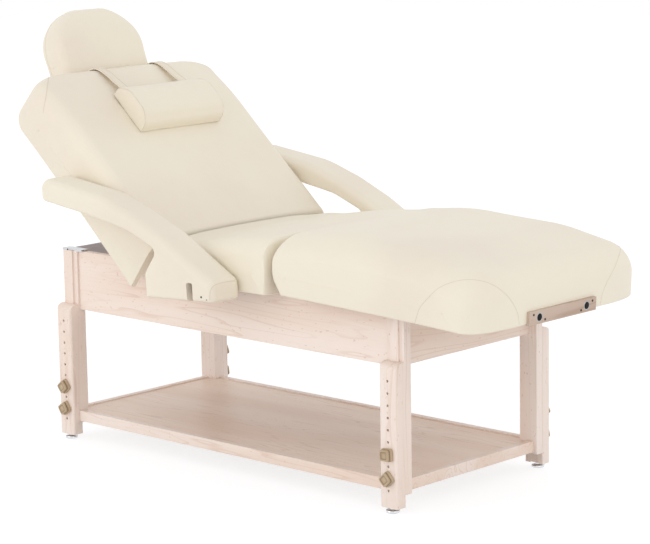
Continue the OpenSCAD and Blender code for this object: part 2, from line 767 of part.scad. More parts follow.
// Each strap follows the top of the backrest and goes over its head end
module bolster_straps() {
    lift = crown * (1 - wide_shares[8] * wide_shares[8]) + gap;
    start_x = bolster_x - bolster_w / 2 - gap;
    fall = head_fall * (back_head_x + head_flat - start_x) / head_flat;
    start = [start_x, back_top - fall + lift];
    end = [back_head_x, outlet_low + outlet_h + strap_step];
    path = concat([start], arc_of(start, [back_head_x, back_top - head_fall + lift], end,
        head_edge_r, 2 * arc_steps), [end]);
    color("antiquewhite") on_back() for (sy = SIDES)
        translate([0, bolster_aside + sy * strap_spacing / 2 + strap_w / 2, 0])
        rotate([90, 0, 0])
        linear_extrude(strap_w) polygon(concat(beside(path, gap + strap_t),
            [for (i = [0:len(path) - 1]) beside(path, gap)[len(path) - 1 - i]]));
}
function beside(path, d) = [for (i = [0:len(path) - 1])
    path[i] + d * turned(unit(path[min(len(path) - 1, i + 1)] - path[max(0, i - 1)]))];

// Headrest
module headrest_fork() {
    rod_r = outlet_r - run;
    axis_x = back_head_x - head_axis_s;
    color("silver") on_back() difference() {
        union() {
            for (sy = SIDES) along(back_head_x - fork_bar_x, sy * outlet_spacing / 2, outlet_z,
                rod_r, fork_bar_x + fork_rod_in);
            block([back_head_x - fork_bar_x - fork_bar_t, -outlet_spacing / 2 - rod_r,
                outlet_z - fork_bar_h / 2],
                [back_head_x - fork_bar_x, outlet_spacing / 2 + rod_r,
                outlet_z + fork_bar_h / 2]);
            for (sy = SIDES) {
                translate([0, sy * head_knuckle_w, 0])
                    block([axis_x, -ear_t, outlet_z - fork_bar_h / 2],
                        [back_head_x - fork_bar_x, ear_t, outlet_z + fork_bar_h / 2]);
                across(axis_x, sy * head_knuckle_w, outlet_z, head_knuckle_r, 2 * ear_t);
            }
        }
        across(axis_x, 0, outlet_z, hinge_pin_r + run, 4 * head_knuckle_w);
    }
}
module headrest_hinge_pin() {
    axis_x = back_head_x - head_axis_s;
    color("silver") on_back() {
        across(axis_x, 0, outlet_z, hinge_pin_r, 2 * (head_knuckle_w + ear_t));
        for (s = SIDES) across(axis_x, s * (head_knuckle_w + ear_t + pin_head_t / 2),
            outlet_z, pin_head_r, pin_head_t);
    }
}
module headrest_shell() {
    top = -head_low - head_h;
    inner = head_knuckle_w - ear_t - ear_gap;
    color("tan") on_head() difference() {
        union() {
            block([top + shell_inset, -head_w / 2 + shell_top_side, head_back],
                [0, head_w / 2 - shell_top_side, head_off]);
            block([top + shell_shoulder, -head_w / 2 + shell_side, head_back],
                [0, head_w / 2 - shell_side, head_off]);
            block([-head_knuckle_r, -inner, 0], [0, inner, head_back]);
            across(0, 0, 0, head_knuckle_r, 2 * inner);
        }
        across(0, 0, 0, hinge_pin_r + run, 2 * head_knuckle_w);
    }
}
module headrest_pad() {
    top = -head_low - head_h;
    outline = [for (p = head_outline_shares)
        [top + p[0] * head_h, head_off + p[1] * head_t, p[2] * head_h]];
    color("antiquewhite") on_head()
        padded_form(outline, head_w / 2, narrow_shares, head_t * head_roll_shares,
            [head_h * head_plan_shares[0], head_w * head_plan_shares[1]], top,
            head_crown, head_draw, head_hem_share, 1);
}

// Seat
module seat_board() {
    color("tan") on_seat() block([seat_x + seat_ear_r + 2 * seam, -in_w, board_low],
        [knee_x - knee_ear_r - hinge_plate_t, in_w, board_top]);
}
module seat_rails() {
    color("burlywood") on_seat() for (sy = SIDES) {
        translate([0, sy * rail_y, 0]) block([seat_x + seat_ear_r, -rail_w / 2, rail_low],
            [knee_x - 2 * knee_ear_r, rail_w / 2, board_low]);
        translate([0, sy * (in_w - side_t / 2), 0])
            block([seat_x, -side_t / 2, side_low],
                [knee_x - 2 * side_t, side_t / 2, board_low]);
    }
}
module seat_outline_form() {
    outline = [
        [back_x + seat_start, hem_z, seat_hem_r],
        [knee_x - seat_undercut, hem_z, seat_undercut_r],
        [knee_x - fold_gap, knee_z - fold_drop, fold_r],
        [knee_x - fold_gap, top_z - seat_edge_drop, seat_edge_r],
        [back_x + seat_mid, top_z - seat_mid_drop, seat_mid_r],
        [back_x + seat_dip, top_z - seat_dip_drop, seat_dip_r],
        [back_x + seat_start, top_z - seat_back_drop, seat_back_r]];
    padded_form(outline, half_w, wide_shares, [seat_roll, seat_roll_w],
        [0, seat_roll_w], outline[2][0], crown, draw, hem_share, end_share);
}
// Room for the heel of the backrest through its whole swing
module backrest_swing() {
    for (a = [0, seat_max]) place(seat_x, seat_z, a) place(back_x, back_z, back_max)
        difference() {
            across(back_x, 0, back_z, swing_r, 4 * half_w);
            block([back_x + heel + seam, -4 * half_w, back_z - 2 * swing_r],
                [back_x + 2 * swing_r, 4 * half_w, back_z + 2 * swing_r]);
        }
}
module seat_cushion() {
    color("antiquewhite") on_seat() difference() {
        seat_outline_form();
        backrest_swing();
        block([back_x, -in_w - gap, hem_z - cut],
            [knee_x + cut, in_w + gap, board_low]);
        block([seat_x - seat_ear_r - seam, -in_w - gap, board_low - cut],
            [knee_x + cut, in_w + gap, board_top]);
        for (sy = SIDES) translate([arm_slot_x, sy * (half_w - side_pad / 2),
            arm_low + arm_slot_h - bracket_h / 2])
            cube([bracket_l + 2 * gap, 2 * side_pad + draw, bracket_w + 2 * gap],
                center = true);
    }
}

// Arm rests and the brackets that they drop on
module arm_brackets() {
    z = arm_low + arm_slot_h - bracket_h / 2;
    color("dimgray") on_seat() for (sy = SIDES) {
        translate([arm_slot_x, sy * (in_w + bracket_t / 2), z])
            cube([bracket_l, bracket_t, bracket_w], center = true);
        translate([arm_slot_x, sy * (in_w + arm_in + arm_w * bracket_share) / 2, z])
            cube([arm_slot_w - 2 * gap, arm_in + arm_w * bracket_share - in_w, bracket_h],
                center = true);
        for (s = SIDES) translate([arm_slot_x + s * bracket_l / 3,
            sy * (in_w + bracket_t), z]) rotate([-90 * sy, 0, 0])
            cylinder(r = bracket_screw_r, h = bracket_screw_t);
    }
}
module arm(sy) {
    outline = [for (p = arm_outline_shares)
        [arm_foot_x - p[0] * arm_l, arm_low + p[1] * arm_h, p[2] * arm_l]];
    color("antiquewhite") on_seat() translate([0, sy * (arm_in + arm_w / 2), 0])
        rotate([90, 0, 0]) linear_extrude(arm_w, center = true) difference() {
            polygon(rounded(outline, arc_steps));
            translate([arm_slot_x - arm_slot_w / 2, arm_low - gap])
                square([arm_slot_w, arm_slot_h + 2 * gap]);
        }
}

// Leg section
module leg_board() {
    color("tan") on_leg() {
        block([knee_x + knee_ear_r + hinge_plate_t, -in_w, board_low],
            [foot_neck_x, in_w, board_top]);
        block([foot_neck_x, -foot_neck_w, board_low], [foot_board_x, foot_neck_w, board_top]);
    }
}
module leg_rails() {
    color("burlywood") on_leg() {
        for (sy = SIDES) {
            translate([0, sy * rail_y, 0])
                block([knee_x + 2 * knee_ear_r, -rail_w / 2, rail_low],
                    [pad_x - 2 * rail_w, rail_w / 2, board_low]);
            translate([0, sy * (in_w - side_t / 2), 0])
                block([knee_x + 3 * side_t, -side_t / 2, side_low],
                    [foot_neck_x, side_t / 2, board_low]);
        }
        difference() {
            block([foot_board_x - end_board_t, -foot_neck_w, side_low],
                [foot_board_x, foot_neck_w, board_low]);
            for (sy = SIDES) along(foot_board_x - end_board_t - cut, sy * outlet_spacing / 2,
                outlet_z, outlet_r, end_board_t + 2 * cut);
        }
    }
}
module slide_pads() {
    color("ivory") on_leg() for (sy = SIDES) {
        translate([0, sy * rail_y, 0]) block([pad_x - pad_r, -rail_w / 2, pad_z],
            [pad_x + pad_r, rail_w / 2, board_low]);
        across(pad_x, sy * rail_y, pad_z, pad_r, rail_w);
    }
}
// Plain solid: where the outlines seen from the side, from the foot and from above
// cross. The side outline gives both ends, the outline from above gives the sides.
module leg_solid() {
    side = [
        [knee_x + leg_undercut, hem_z, leg_undercut_r], [foot_x, hem_z, hem_r],
        [foot_x, top_z - foot_drop, foot_edge_r], [foot_x - foot_flat, top_z, foot_top_r],
        [knee_x + knee_flat, top_z, top_r],
        [knee_x + fold_gap, top_z - knee_edge_drop, knee_edge_r],
        [knee_x + fold_gap, knee_z - fold_drop, fold_r]];
    wide = half_w + cut;
    low = hem_z - leg_side_r;
    section = [[-wide, low, least_r], [wide, low, least_r],
        [wide, top_z + crown, leg_side_r], [-wide, top_z + crown, leg_side_r]];
    plan = [[knee_x - cut, -half_w, least_r], [foot_x + cut, -half_w, foot_corner_r],
        [foot_x + cut, half_w, foot_corner_r], [knee_x - cut, half_w, least_r]];
    intersection() {
        rotate([90, 0, 0]) linear_extrude(2 * wide, center = true)
            polygon(rounded(side, arc_steps));
        translate([knee_x - 2 * cut, 0, 0]) rotate([90, 0, 90])
            linear_extrude(foot_x - knee_x + 4 * cut) polygon(rounded(section, arc_steps));
        translate([0, 0, hem_z - cut]) linear_extrude(top_z - hem_z + 2 * crown)
            polygon(rounded(plan, arc_steps));
    }
}
module leg_cushion() {
    color("antiquewhite") on_leg() difference() {
        leg_solid();
        block([knee_x, -in_w - gap, hem_z - cut],
            [foot_neck_x + gap, in_w + gap, board_top]);
        block([foot_neck_x, -foot_neck_w - gap, hem_z - cut],
            [foot_board_x + gap, foot_neck_w + gap, board_top]);
        block([foot_board_x, -outlet_w / 2 - gap, hem_z - cut],
            [foot_x + cut, outlet_w / 2 + gap, outlet_low + outlet_h + gap]);
    }
}
module foot_outlet_block() {
    color("burlywood") on_leg() difference() {
        block([foot_board_x, -outlet_w / 2, outlet_low],
            [foot_x + outlet_proud, outlet_w / 2, outlet_low + outlet_h]);
        for (sy = SIDES) along(foot_board_x - cut, sy * outlet_spacing / 2, outlet_z,
            outlet_r, foot_x + outlet_proud - foot_board_x + 2 * cut);
    }
}
module outlet_screws() {
    color("dimgray") on_leg() for (p = outlet_screw_place_shares)
        along(foot_x + outlet_proud, p[0] * outlet_w, outlet_z + p[1] * outlet_h,
            outlet_screw_r, outlet_screw_t);
}

post(-1, -1);  // post_near_head
post(-1, 1);  // post_far_head
post(1, -1);  // post_near_foot
post(1, 1);  // post_far_foot
apron_long(-1);  // apron_near
apron_long(1);  // apron_far
apron_end(-1);  // apron_head
apron_end(1);  // apron_foot
deck();
deck_bearers();
corner_caps();
cap_screws();
shelf_panel();
shelf_rails();
adjustable_leg(-1, -1);  // leg_near_head
adjustable_leg(-1, 1);  // leg_far_head
adjustable_leg(1, -1);  // leg_near_foot
adjustable_leg(1, 1);  // leg_far_foot
glide(-1, -1);  // glide_near_head
glide(-1, 1);  // glide_far_head
glide(1, -1);  // glide_near_foot
glide(1, 1);  // glide_far_foot
knob(-1, -1, knob_holes[0]);  // knob_near_head_upper
knob(-1, -1, knob_holes[1]);  // knob_near_head_lower
knob(-1, 1, knob_holes[0]);  // knob_far_head_upper
knob(-1, 1, knob_holes[1]);  // knob_far_head_lower
knob(1, -1, knob_holes[0]);  // knob_near_foot_upper
knob(1, -1, knob_holes[1]);  // knob_near_foot_lower
knob(1, 1, knob_holes[0]);  // knob_far_foot_upper
knob(1, 1, knob_holes[1]);  // knob_far_foot_lower
back_hinge_clevises();
back_hinge_pins();
back_hinge_tongues();
backrest_board();
backrest_rails();
backrest_cushion();
head_outlet_block();
bolster();
bolster_straps();
headrest_fork();
headrest_hinge_pin();
headrest_shell();
headrest_pad();
seat_hinge_clevises();
seat_hinge_pins();
seat_hinge_tongues();
seat_board();
seat_rails();
seat_cushion();
arm_brackets();
arm(-1);  // arm_near
arm(1);  // arm_far
knee_hinge_clevises();
knee_hinge_tongues();
leg_board();
leg_rails();
slide_pads();
leg_cushion();
foot_outlet_block();
outlet_screws();
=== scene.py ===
# Looks of a spa treatment table: padded vinyl sections, a maple base with adjustable
# legs, clamp knobs, bright metal fittings, a plain studio floor and one camera.
import json
import math

import bmesh
import bpy
import numpy as np
from mathutils import Matrix, Vector, noise
from mathutils.bvhtree import BVHTree

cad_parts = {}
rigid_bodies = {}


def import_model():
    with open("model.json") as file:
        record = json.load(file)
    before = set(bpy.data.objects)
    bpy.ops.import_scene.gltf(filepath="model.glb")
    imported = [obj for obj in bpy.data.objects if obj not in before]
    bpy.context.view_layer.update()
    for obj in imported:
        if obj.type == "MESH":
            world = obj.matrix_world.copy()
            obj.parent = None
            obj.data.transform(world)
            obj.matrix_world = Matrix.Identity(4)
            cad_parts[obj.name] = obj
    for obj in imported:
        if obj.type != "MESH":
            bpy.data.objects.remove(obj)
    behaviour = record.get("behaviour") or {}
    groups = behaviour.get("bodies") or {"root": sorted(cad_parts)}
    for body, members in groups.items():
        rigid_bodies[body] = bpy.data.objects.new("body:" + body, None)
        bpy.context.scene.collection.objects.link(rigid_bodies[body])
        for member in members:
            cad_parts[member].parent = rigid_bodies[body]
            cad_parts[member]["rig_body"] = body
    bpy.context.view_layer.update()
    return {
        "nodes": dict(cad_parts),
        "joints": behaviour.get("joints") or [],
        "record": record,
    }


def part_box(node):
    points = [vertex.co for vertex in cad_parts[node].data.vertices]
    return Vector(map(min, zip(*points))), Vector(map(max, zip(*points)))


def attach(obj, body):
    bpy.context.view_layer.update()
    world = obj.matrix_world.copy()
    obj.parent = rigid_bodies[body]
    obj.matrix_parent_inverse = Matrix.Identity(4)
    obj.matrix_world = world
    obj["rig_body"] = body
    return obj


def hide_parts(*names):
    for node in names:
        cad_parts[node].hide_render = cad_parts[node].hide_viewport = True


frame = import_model()

# Shapes are drawn in millimetres with every section flat, and turned into the
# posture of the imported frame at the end.
MM = 0.001
HINGE = {joint["name"]: Vector(joint["pos_m"]) / MM for joint in frame["joints"]
         if "pos_m" in joint}
BACK_X, SEAT_X, KNEE_X = -335, -176, 262
BACK_Z, SEAT_Z, KNEE_Z = 615, 632, 628
HEM_Z, TOP_Z, BACK_TOP = 567, 756, 752
HALF_W, INNER_W = 385, 365.3
SEAT_HEM, KNEE_HEM, FOOT_HEM = 554, 561, 570
HEAD_END, HEEL_END, FOOT_END = -1020, -290, 1024
# Tops of the hidden boards and outlet blocks that the covers are hollowed out for.
BOARD_TOP, BLOCK_TOP, BLOCK_HALF = 648, 606.3, 150.3
BACK_TILT, SEAT_TILT, LEG_TILT, HEAD_TILT = 42, -2.9, 5.8717, 26.6


def turned_about(x, z, degrees):
    there = Matrix.Translation((x, 0, z))
    return there @ Matrix.Rotation(math.radians(degrees), 4, "Y") @ there.inverted()


MIDDLE = Matrix.Translation((HINGE["backrest_tilt"].x - BACK_X, 0, 0))
ON_BACK = MIDDLE @ turned_about(BACK_X, BACK_Z, BACK_TILT)
ON_SEAT = MIDDLE @ turned_about(SEAT_X, SEAT_Z, SEAT_TILT)
ON_LEG = ON_SEAT @ turned_about(KNEE_X, KNEE_Z, LEG_TILT)
ON_HEAD = ON_BACK @ Matrix.Translation((HEAD_END - 87, 0, 587)) @ Matrix.Rotation(
    math.radians(HEAD_TILT), 4, "Y")


# ---- Colours, as they read in plain studio light ----
def rgb(r, g, b):
    def linear(c):
        c /= 255
        return c / 12.92 if c <= 0.04045 else ((c + 0.055) / 1.055) ** 2.4
    return (linear(r), linear(g), linear(b), 1)


# ---- Shader building ----
class Sheet:
    """A node tree being drawn: add() places a node and wires or sets its inputs."""

    def __init__(self, tree):
        self.tree = tree

    def add(self, kind, out=0, **settings):
        node = self.tree.nodes.new(kind)
        wires = settings.pop("wires", {})
        for name, value in settings.items():
            setattr(node, name, value)
        for socket, value in wires.items():
            if isinstance(value, bpy.types.NodeSocket):
                self.tree.links.new(value, node.inputs[socket])
            else:
                node.inputs[socket].default_value = value
        return node if out is None else node.outputs[out]

    def wire(self, sockets, **values):
        """Links or sets sockets by name, with _ for each space."""
        for name, value in values.items():
            socket = sockets[name.replace("_", " ")]
            if isinstance(value, bpy.types.NodeSocket):
                self.tree.links.new(value, socket)
            else:
                socket.default_value = value

    def calc(self, operation, a, b=0.0, c=0.0):
        return self.add("ShaderNodeMath", operation=operation, wires={0: a, 1: b, 2: c})

    def stretched(self, vector, x, y, z):
        return self.add("ShaderNodeVectorMath", operation="MULTIPLY",
                        wires={0: vector, 1: (x, y, z)})

    def noise(self, vector, scale, detail=2.0, rough=0.5, distort=0.0):
        return self.add("ShaderNodeTexNoise", wires={
            "Vector": vector, "Scale": scale, "Detail": detail, "Roughness": rough,
            "Distortion": distort})

    def ramp(self, value, low, high, to_low=0.0, to_high=1.0):
        return self.add("ShaderNodeMapRange", interpolation_type="SMOOTHSTEP", wires={
            "Value": value, "From Min": low, "From Max": high, "To Min": to_low,
            "To Max": to_high})

    def blend(self, factor, a, b):
        return self.add("ShaderNodeMix", out=2, data_type="RGBA",
                        wires={0: factor, 6: a, 7: b})

    def group(self, group, **inputs):
        node = self.add("ShaderNodeGroup", out=None, node_tree=group)
        self.wire(node.inputs, **inputs)
        return node.outputs


def new_group(name, inputs, outputs):
    group = bpy.data.node_groups.new(name, "ShaderNodeTree")
    for label, kind, value in inputs:
        socket = group.interface.new_socket(label, in_out="INPUT", socket_type=kind)
        if value is not None:
            socket.default_value = value
    for label, kind in outputs:
        group.interface.new_socket(label, in_out="OUTPUT", socket_type=kind)
    sheet = Sheet(group)
    entry = group.nodes.new("NodeGroupInput").outputs
    leave = group.nodes.new("NodeGroupOutput").inputs
    return group, sheet, entry, leave


VALUE, COLOUR, VECTOR = "NodeSocketFloat", "NodeSocketColor", "NodeSocketVector"


def maple_figure_group():
    """Flat-sawn figure with the grain along X: growth lines, fibre and small flecks."""
    group, s, entry, leave = new_group("maple figure", [
        ("Place", VECTOR, None), ("Pale", COLOUR, None), ("Warm", COLOUR, None),
        ("Growth", COLOUR, None), ("Rings", VALUE, 11.0), ("Line", VALUE, 0.3)],
        [("Colour", COLOUR), ("Height", VALUE), ("Gloss", VALUE)])
    place = entry["Place"]
    field = s.noise(s.stretched(place, 1.1, 15.0, 15.0), 1.0, 1.8, 0.45, 0.25)
    saw = s.calc("FRACT", s.calc("MULTIPLY", field, entry["Rings"]))
    line = s.calc("MULTIPLY", s.ramp(saw, 0.7, 0.94), s.ramp(saw, 1.0, 0.95))
    faint = s.ramp(s.noise(s.stretched(place, 2.2, 7.0, 7.0), 1.0, 1.0), 0.34, 0.62, 0.25, 1.0)
    line = s.calc("MULTIPLY", line, faint)
    fibre = s.noise(s.stretched(place, 9.0, 420.0, 420.0), 1.0, 2.0, 0.6)
    fleck = s.ramp(s.noise(s.stretched(place, 90.0, 190.0, 190.0), 1.0, 0.0), 0.77, 0.82)
    clouds = s.ramp(s.noise(s.stretched(place, 1.1, 8.0, 8.0), 1.0, 1.0), 0.36, 0.66)
    ground = s.blend(clouds, entry["Pale"], entry["Warm"])
    ground = s.blend(s.calc("MULTIPLY", line, entry["Line"]), ground, entry["Growth"])
    ground = s.blend(s.ramp(fibre, 0.5, 0.8, 0.0, 0.13), ground, entry["Growth"])
    ground = s.blend(s.calc("MULTIPLY", fleck, 0.5), ground, entry["Growth"])
    height = s.calc("SUBTRACT", s.calc("MULTIPLY", fibre, 0.6), s.calc("MULTIPLY", line, 0.5))
    s.wire(leave, Colour=ground, Height=height, Gloss=s.ramp(fibre, 0.2, 0.8, 0.46, 0.36))
    return group


def soft_grain_group():
    """Fine pebbled surface with slow changes of tone, for vinyl, webbing and plastic."""
    group, s, entry, leave = new_group("soft grain", [
        ("Place", VECTOR, None), ("Light", COLOUR, None), ("Deep", COLOUR, None),
        ("Grain", VALUE, 900.0), ("Cloud", VALUE, 2.4)],
        [("Colour", COLOUR), ("Height", VALUE), ("Gloss", VALUE)])
    place = entry["Place"]
    pebble = s.add("ShaderNodeTexVoronoi", feature="SMOOTH_F1", wires={
        "Vector": place, "Scale": entry["Grain"], "Smoothness": 0.6})
    slow = s.noise(place, entry["Cloud"], 2.0, 0.45)
    worn = s.noise(place, s.calc("MULTIPLY", entry["Cloud"], 9.0), 3.0, 0.55)
    tone = s.calc("ADD", s.ramp(slow, 0.38, 0.66, 0.0, 0.8), s.ramp(worn, 0.4, 0.75, 0.0, 0.2))
    s.wire(leave, Colour=s.blend(tone, entry["Light"], entry["Deep"]), Height=pebble,
           Gloss=s.ramp(worn, 0.3, 0.7, 0.0, 1.0))
    return group


def metal_wear_group():
    """Brushed streaks along X with dull handling marks, for steel and chrome."""
    group, s, entry, leave = new_group("metal wear", [
        ("Place", VECTOR, None), ("Bright", COLOUR, None), ("Dull", COLOUR, None),
        ("Brush", VALUE, 600.0), ("Smooth", VALUE, 0.2), ("Rough", VALUE, 0.4)],
        [("Colour", COLOUR), ("Gloss", VALUE), ("Height", VALUE)])
    place = entry["Place"]
    streak = s.noise(s.stretched(place, 0.06, 1.0, 1.0), entry["Brush"], 2.0, 0.6)
    mark = s.ramp(s.noise(place, 38.0, 3.0, 0.6), 0.42, 0.7)
    group.links.new(s.blend(s.calc("MULTIPLY", mark, 0.5), entry["Bright"], entry["Dull"]),
                    leave["Colour"])
    spread = s.calc("SUBTRACT", entry["Rough"], entry["Smooth"])
    share = s.calc("MULTIPLY_ADD", mark, 0.6, s.calc("MULTIPLY", streak, 0.4))
    group.links.new(s.calc("MULTIPLY_ADD", share, spread, entry["Smooth"]), leave["Gloss"])
    group.links.new(streak, leave["Height"])
    return group


def crease_shade_group():
    """Painted shade: slight darkening in stitched lines and grooves, from the crease attribute."""
    group, s, entry, leave = new_group("edge shade", [
        ("Amount", VALUE, 0.3)], [("Mask", VALUE)])
    crease = s.add("ShaderNodeAttribute", out=2, attribute_name="crease")
    group.links.new(s.calc("MULTIPLY", crease, entry["Amount"]), leave["Mask"])
    return group


FIGURE = maple_figure_group()
GRAIN = soft_grain_group()
WEAR = metal_wear_group()
EDGE = crease_shade_group()


def finish_of(name, tint, roughness=0.5, metallic=0.0, specular=0.5, coat=0.0, sheen=0.0):
    material = bpy.data.materials.new(name)
    material.use_nodes = True
    material.diffuse_color = tint
    sheet = Sheet(material.node_tree)
    skin = material.node_tree.nodes["Principled BSDF"]
    sheet.wire(skin.inputs, Base_Color=tint, Roughness=roughness, Metallic=metallic,
               Specular_IOR_Level=specular, Coat_Weight=coat, Coat_Roughness=0.25,
               Sheen_Weight=sheen)
    place = sheet.add("ShaderNodeTexCoord", out=3)
    return material, sheet, skin, place


def raised(sheet, skin, height, strength, distance):
    bump = sheet.add("ShaderNodeBump", wires={
        "Height": height, "Strength": strength, "Distance": distance})
    sheet.tree.links.new(bump, skin.inputs["Normal"])


def wood(name, turn, pale, warm, growth, rings=11.0, line=0.34, offset=(0, 0, 0)):
    """Oiled wood. turn brings the piece's own grain direction onto X."""
    material, s, skin, place = finish_of(name, pale, specular=0.35, coat=0.08)
    laid = s.add("ShaderNodeMapping", vector_type="POINT", wires={
        "Vector": place, "Location": offset, "Rotation": turn})
    out = s.group(FIGURE, Place=laid, Pale=pale, Warm=warm, Growth=growth,
                  Rings=rings, Line=line)
    s.wire(skin.inputs, Base_Color=out["Colour"], Roughness=out["Gloss"])
    raised(s, skin, out["Height"], 0.25, 0.0003)
    return material


def vinyl(name, light, deep, grain=900.0):
    material, s, skin, place = finish_of(name, light, specular=0.32, sheen=0.06)
    skin.inputs["Sheen Roughness"].default_value = 0.5
    out = s.group(GRAIN, Place=place, Light=light, Deep=deep, Grain=grain)
    # painted shade: the cover turns darker tan where the crease attribute marks seams and grooves
    shade = s.group(EDGE, Amount=0.55)["Mask"]
    colour = s.blend(shade, out["Colour"], rgb(176, 158, 132))
    s.tree.links.new(colour, skin.inputs["Base Color"])
    s.tree.links.new(s.ramp(out["Gloss"], 0.0, 1.0, 0.5, 0.42), skin.inputs["Roughness"])
    raised(s, skin, out["Height"], 0.12, 0.00025)
    return material


def moulded(name, light, deep, rough=(0.5, 0.38), grain=1600.0, specular=0.4):
    material, s, skin, place = finish_of(name, light, specular=specular)
    out = s.group(GRAIN, Place=place, Light=light, Deep=deep, Grain=grain, Cloud=26.0)
    # painted shade: the plastic turns dark brown where the crease attribute marks waists and grooves
    shade = s.group(EDGE, Amount=0.7)["Mask"]
    s.tree.links.new(s.blend(shade, out["Colour"], rgb(96, 76, 52)), skin.inputs["Base Color"])
    s.tree.links.new(s.ramp(out["Gloss"], 0.0, 1.0, *rough), skin.inputs["Roughness"])
    raised(s, skin, out["Height"], 0.1, 0.0002)
    return material


def metal(name, bright, dull, smooth, rough, brush=600.0):
    material, s, skin, place = finish_of(name, bright, metallic=1.0)
    out = s.group(WEAR, Place=place, Bright=bright, Dull=dull, Brush=brush,
                  Smooth=smooth, Rough=rough)
    s.wire(skin.inputs, Base_Color=out["Colour"], Roughness=out["Gloss"])
    raised(s, skin, out["Height"], 0.05, 0.0001)
    return material


MAPLE_PALE, MAPLE_WARM, MAPLE_LINE = rgb(247, 232, 222), rgb(241, 220, 205), rgb(212, 176, 154)
ALONG_X = (0, 0, 0)
ALONG_Y = (0, 0, math.radians(-90))
ALONG_Z = (0, math.radians(90), 0)
MATERIALS = {
    "maple_long": wood("maple, grain along the table", ALONG_X, MAPLE_PALE, MAPLE_WARM,
                       MAPLE_LINE, offset=(0.3, 0.1, 0.02)),
    "maple_cross": wood("maple, grain across the table", ALONG_Y, MAPLE_PALE, MAPLE_WARM,
                        MAPLE_LINE, offset=(1.7, 0.4, 0.3)),
    "maple_up": wood("maple, grain upright", ALONG_Z, rgb(247, 234, 226), rgb(242, 224, 212),
                     MAPLE_LINE, rings=8.0, line=0.26, offset=(0.9, 0.2, 0.5)),
    "frame_wood": wood("plain birch framing", ALONG_X, rgb(224, 200, 168), rgb(214, 186, 150),
                       rgb(176, 140, 102), rings=12.0, line=0.35),
    "plywood": wood("birch ply", ALONG_X, rgb(219, 193, 158), rgb(208, 178, 140),
                    rgb(168, 132, 94), rings=12.0, line=0.35, offset=(0.2, 0.7, 0.1)),
    "shelf": wood("shelf veneer", ALONG_X, rgb(247, 226, 209), rgb(240, 214, 194),
                  rgb(200, 164, 140), rings=16.0, line=0.4, offset=(2.2, 0.9, 0.1)),
    "plate": wood("tan outlet plate", ALONG_Y, rgb(204, 182, 166), rgb(192, 168, 150),
                  rgb(160, 128, 106), rings=9.0, line=0.4, offset=(0.4, 1.9, 0.2)),
    "bore": moulded("dark bore lining", rgb(52, 44, 38), rgb(34, 29, 25), rough=(0.6, 0.5)),
    "vinyl": vinyl("cream vinyl", rgb(240, 232, 214), rgb(236, 225, 209)),
    "band": vinyl("cream band", rgb(238, 228, 210), rgb(232, 220, 202), grain=1500.0),
    "board": moulded("grey deck laminate", rgb(170, 160, 163), rgb(158, 148, 152),
                     rough=(0.62, 0.5), grain=500.0, specular=0.3),
    "knob": moulded("tan knob plastic", rgb(196, 174, 144), rgb(184, 160, 130)),
    "nylon": moulded("white nylon", rgb(232, 230, 224), rgb(222, 219, 212)),
    "cap": metal("bright cap steel", rgb(214, 215, 218), rgb(186, 188, 192), 0.22, 0.36),
    "chrome": metal("polished chrome", rgb(226, 227, 230), rgb(206, 208, 212), 0.05, 0.12, 200.0),
    "bright": metal("plated steel", rgb(196, 198, 201), rgb(168, 170, 174), 0.24, 0.4),
    "black": metal("black hinge steel", rgb(62, 62, 64), rgb(44, 44, 46), 0.4, 0.6),
    "screw": metal("dark screw steel", rgb(84, 80, 76), rgb(58, 55, 52), 0.3, 0.5, 900.0),
}


# ---- Mesh building ----
def between(a, b, n):
    """Quads between two closed rings of n points, numbered on from a and from b."""
    return [(a + i, a + (i + 1) % n, b + (i + 1) % n, b + i) for i in range(n)]


def placed(name, data):
    """New object for the data, in the scene at the origin."""
    thing = bpy.data.objects.new(name, data)
    bpy.context.scene.collection.objects.link(thing)
    return thing


def set_crease(mesh, crease):
    mesh.attributes.new("crease", "FLOAT", "POINT").data.foreach_set("value", crease)


def mesh_object(name, points, faces, material, where=None, weld=False):
    """Object at the origin whose mesh holds the points, given in flat millimetres."""
    mesh = bpy.data.meshes.new(name)
    where = where or Matrix.Identity(4)
    mesh.from_pydata([where @ Vector(p) * MM for p in points], [], faces)
    mesh.materials.append(MATERIALS[material])
    mesh.validate()
    piece = placed(name, mesh)
    outward(mesh, weld=weld)
    return piece


def outward(mesh, sharp=None, weld=False):
    """Points every face outwards and marks edges over the sharp angle."""
    work = bmesh.new()
    work.from_mesh(mesh)
    if weld:
        bmesh.ops.remove_doubles(work, verts=work.verts, dist=0.05 * MM)
        close_seams(work)
    bmesh.ops.recalc_face_normals(work, faces=work.faces)
    for face in work.faces:
        face.smooth = True
    if sharp is not None:
        limit = math.radians(sharp)
        for edge in work.edges:
            if len(edge.link_faces) == 2 and edge.calc_face_angle(0) > limit:
                edge.smooth = False
    work.to_mesh(mesh)
    work.free()
    mesh.update()


def close_seams(work):
    """Zips the two halves of a side together along its middle line."""
    loose = [edge for edge in work.edges if edge.is_boundary]
    if loose:
        bmesh.ops.holes_fill(work, edges=loose, sides=0)
        wide = [face for face in work.faces if len(face.verts) > 4]
        bmesh.ops.triangulate(work, faces=wide)


def settle(piece):
    """Applies a piece's modifiers to its mesh."""
    evaluated = piece.evaluated_get(bpy.context.evaluated_depsgraph_get())
    mesh = bpy.data.meshes.new_from_object(evaluated)
    old = piece.data
    piece.modifiers.clear()
    piece.data = mesh
    mesh.name = piece.name
    bpy.data.meshes.remove(old)


def cut_away(piece, cutters):
    for cutter in cutters:
        trim = piece.modifiers.new("trim", "BOOLEAN")
        trim.operation, trim.solver, trim.object = "DIFFERENCE", "MANIFOLD", cutter
        settle(piece)
        bpy.data.meshes.remove(cutter.data)


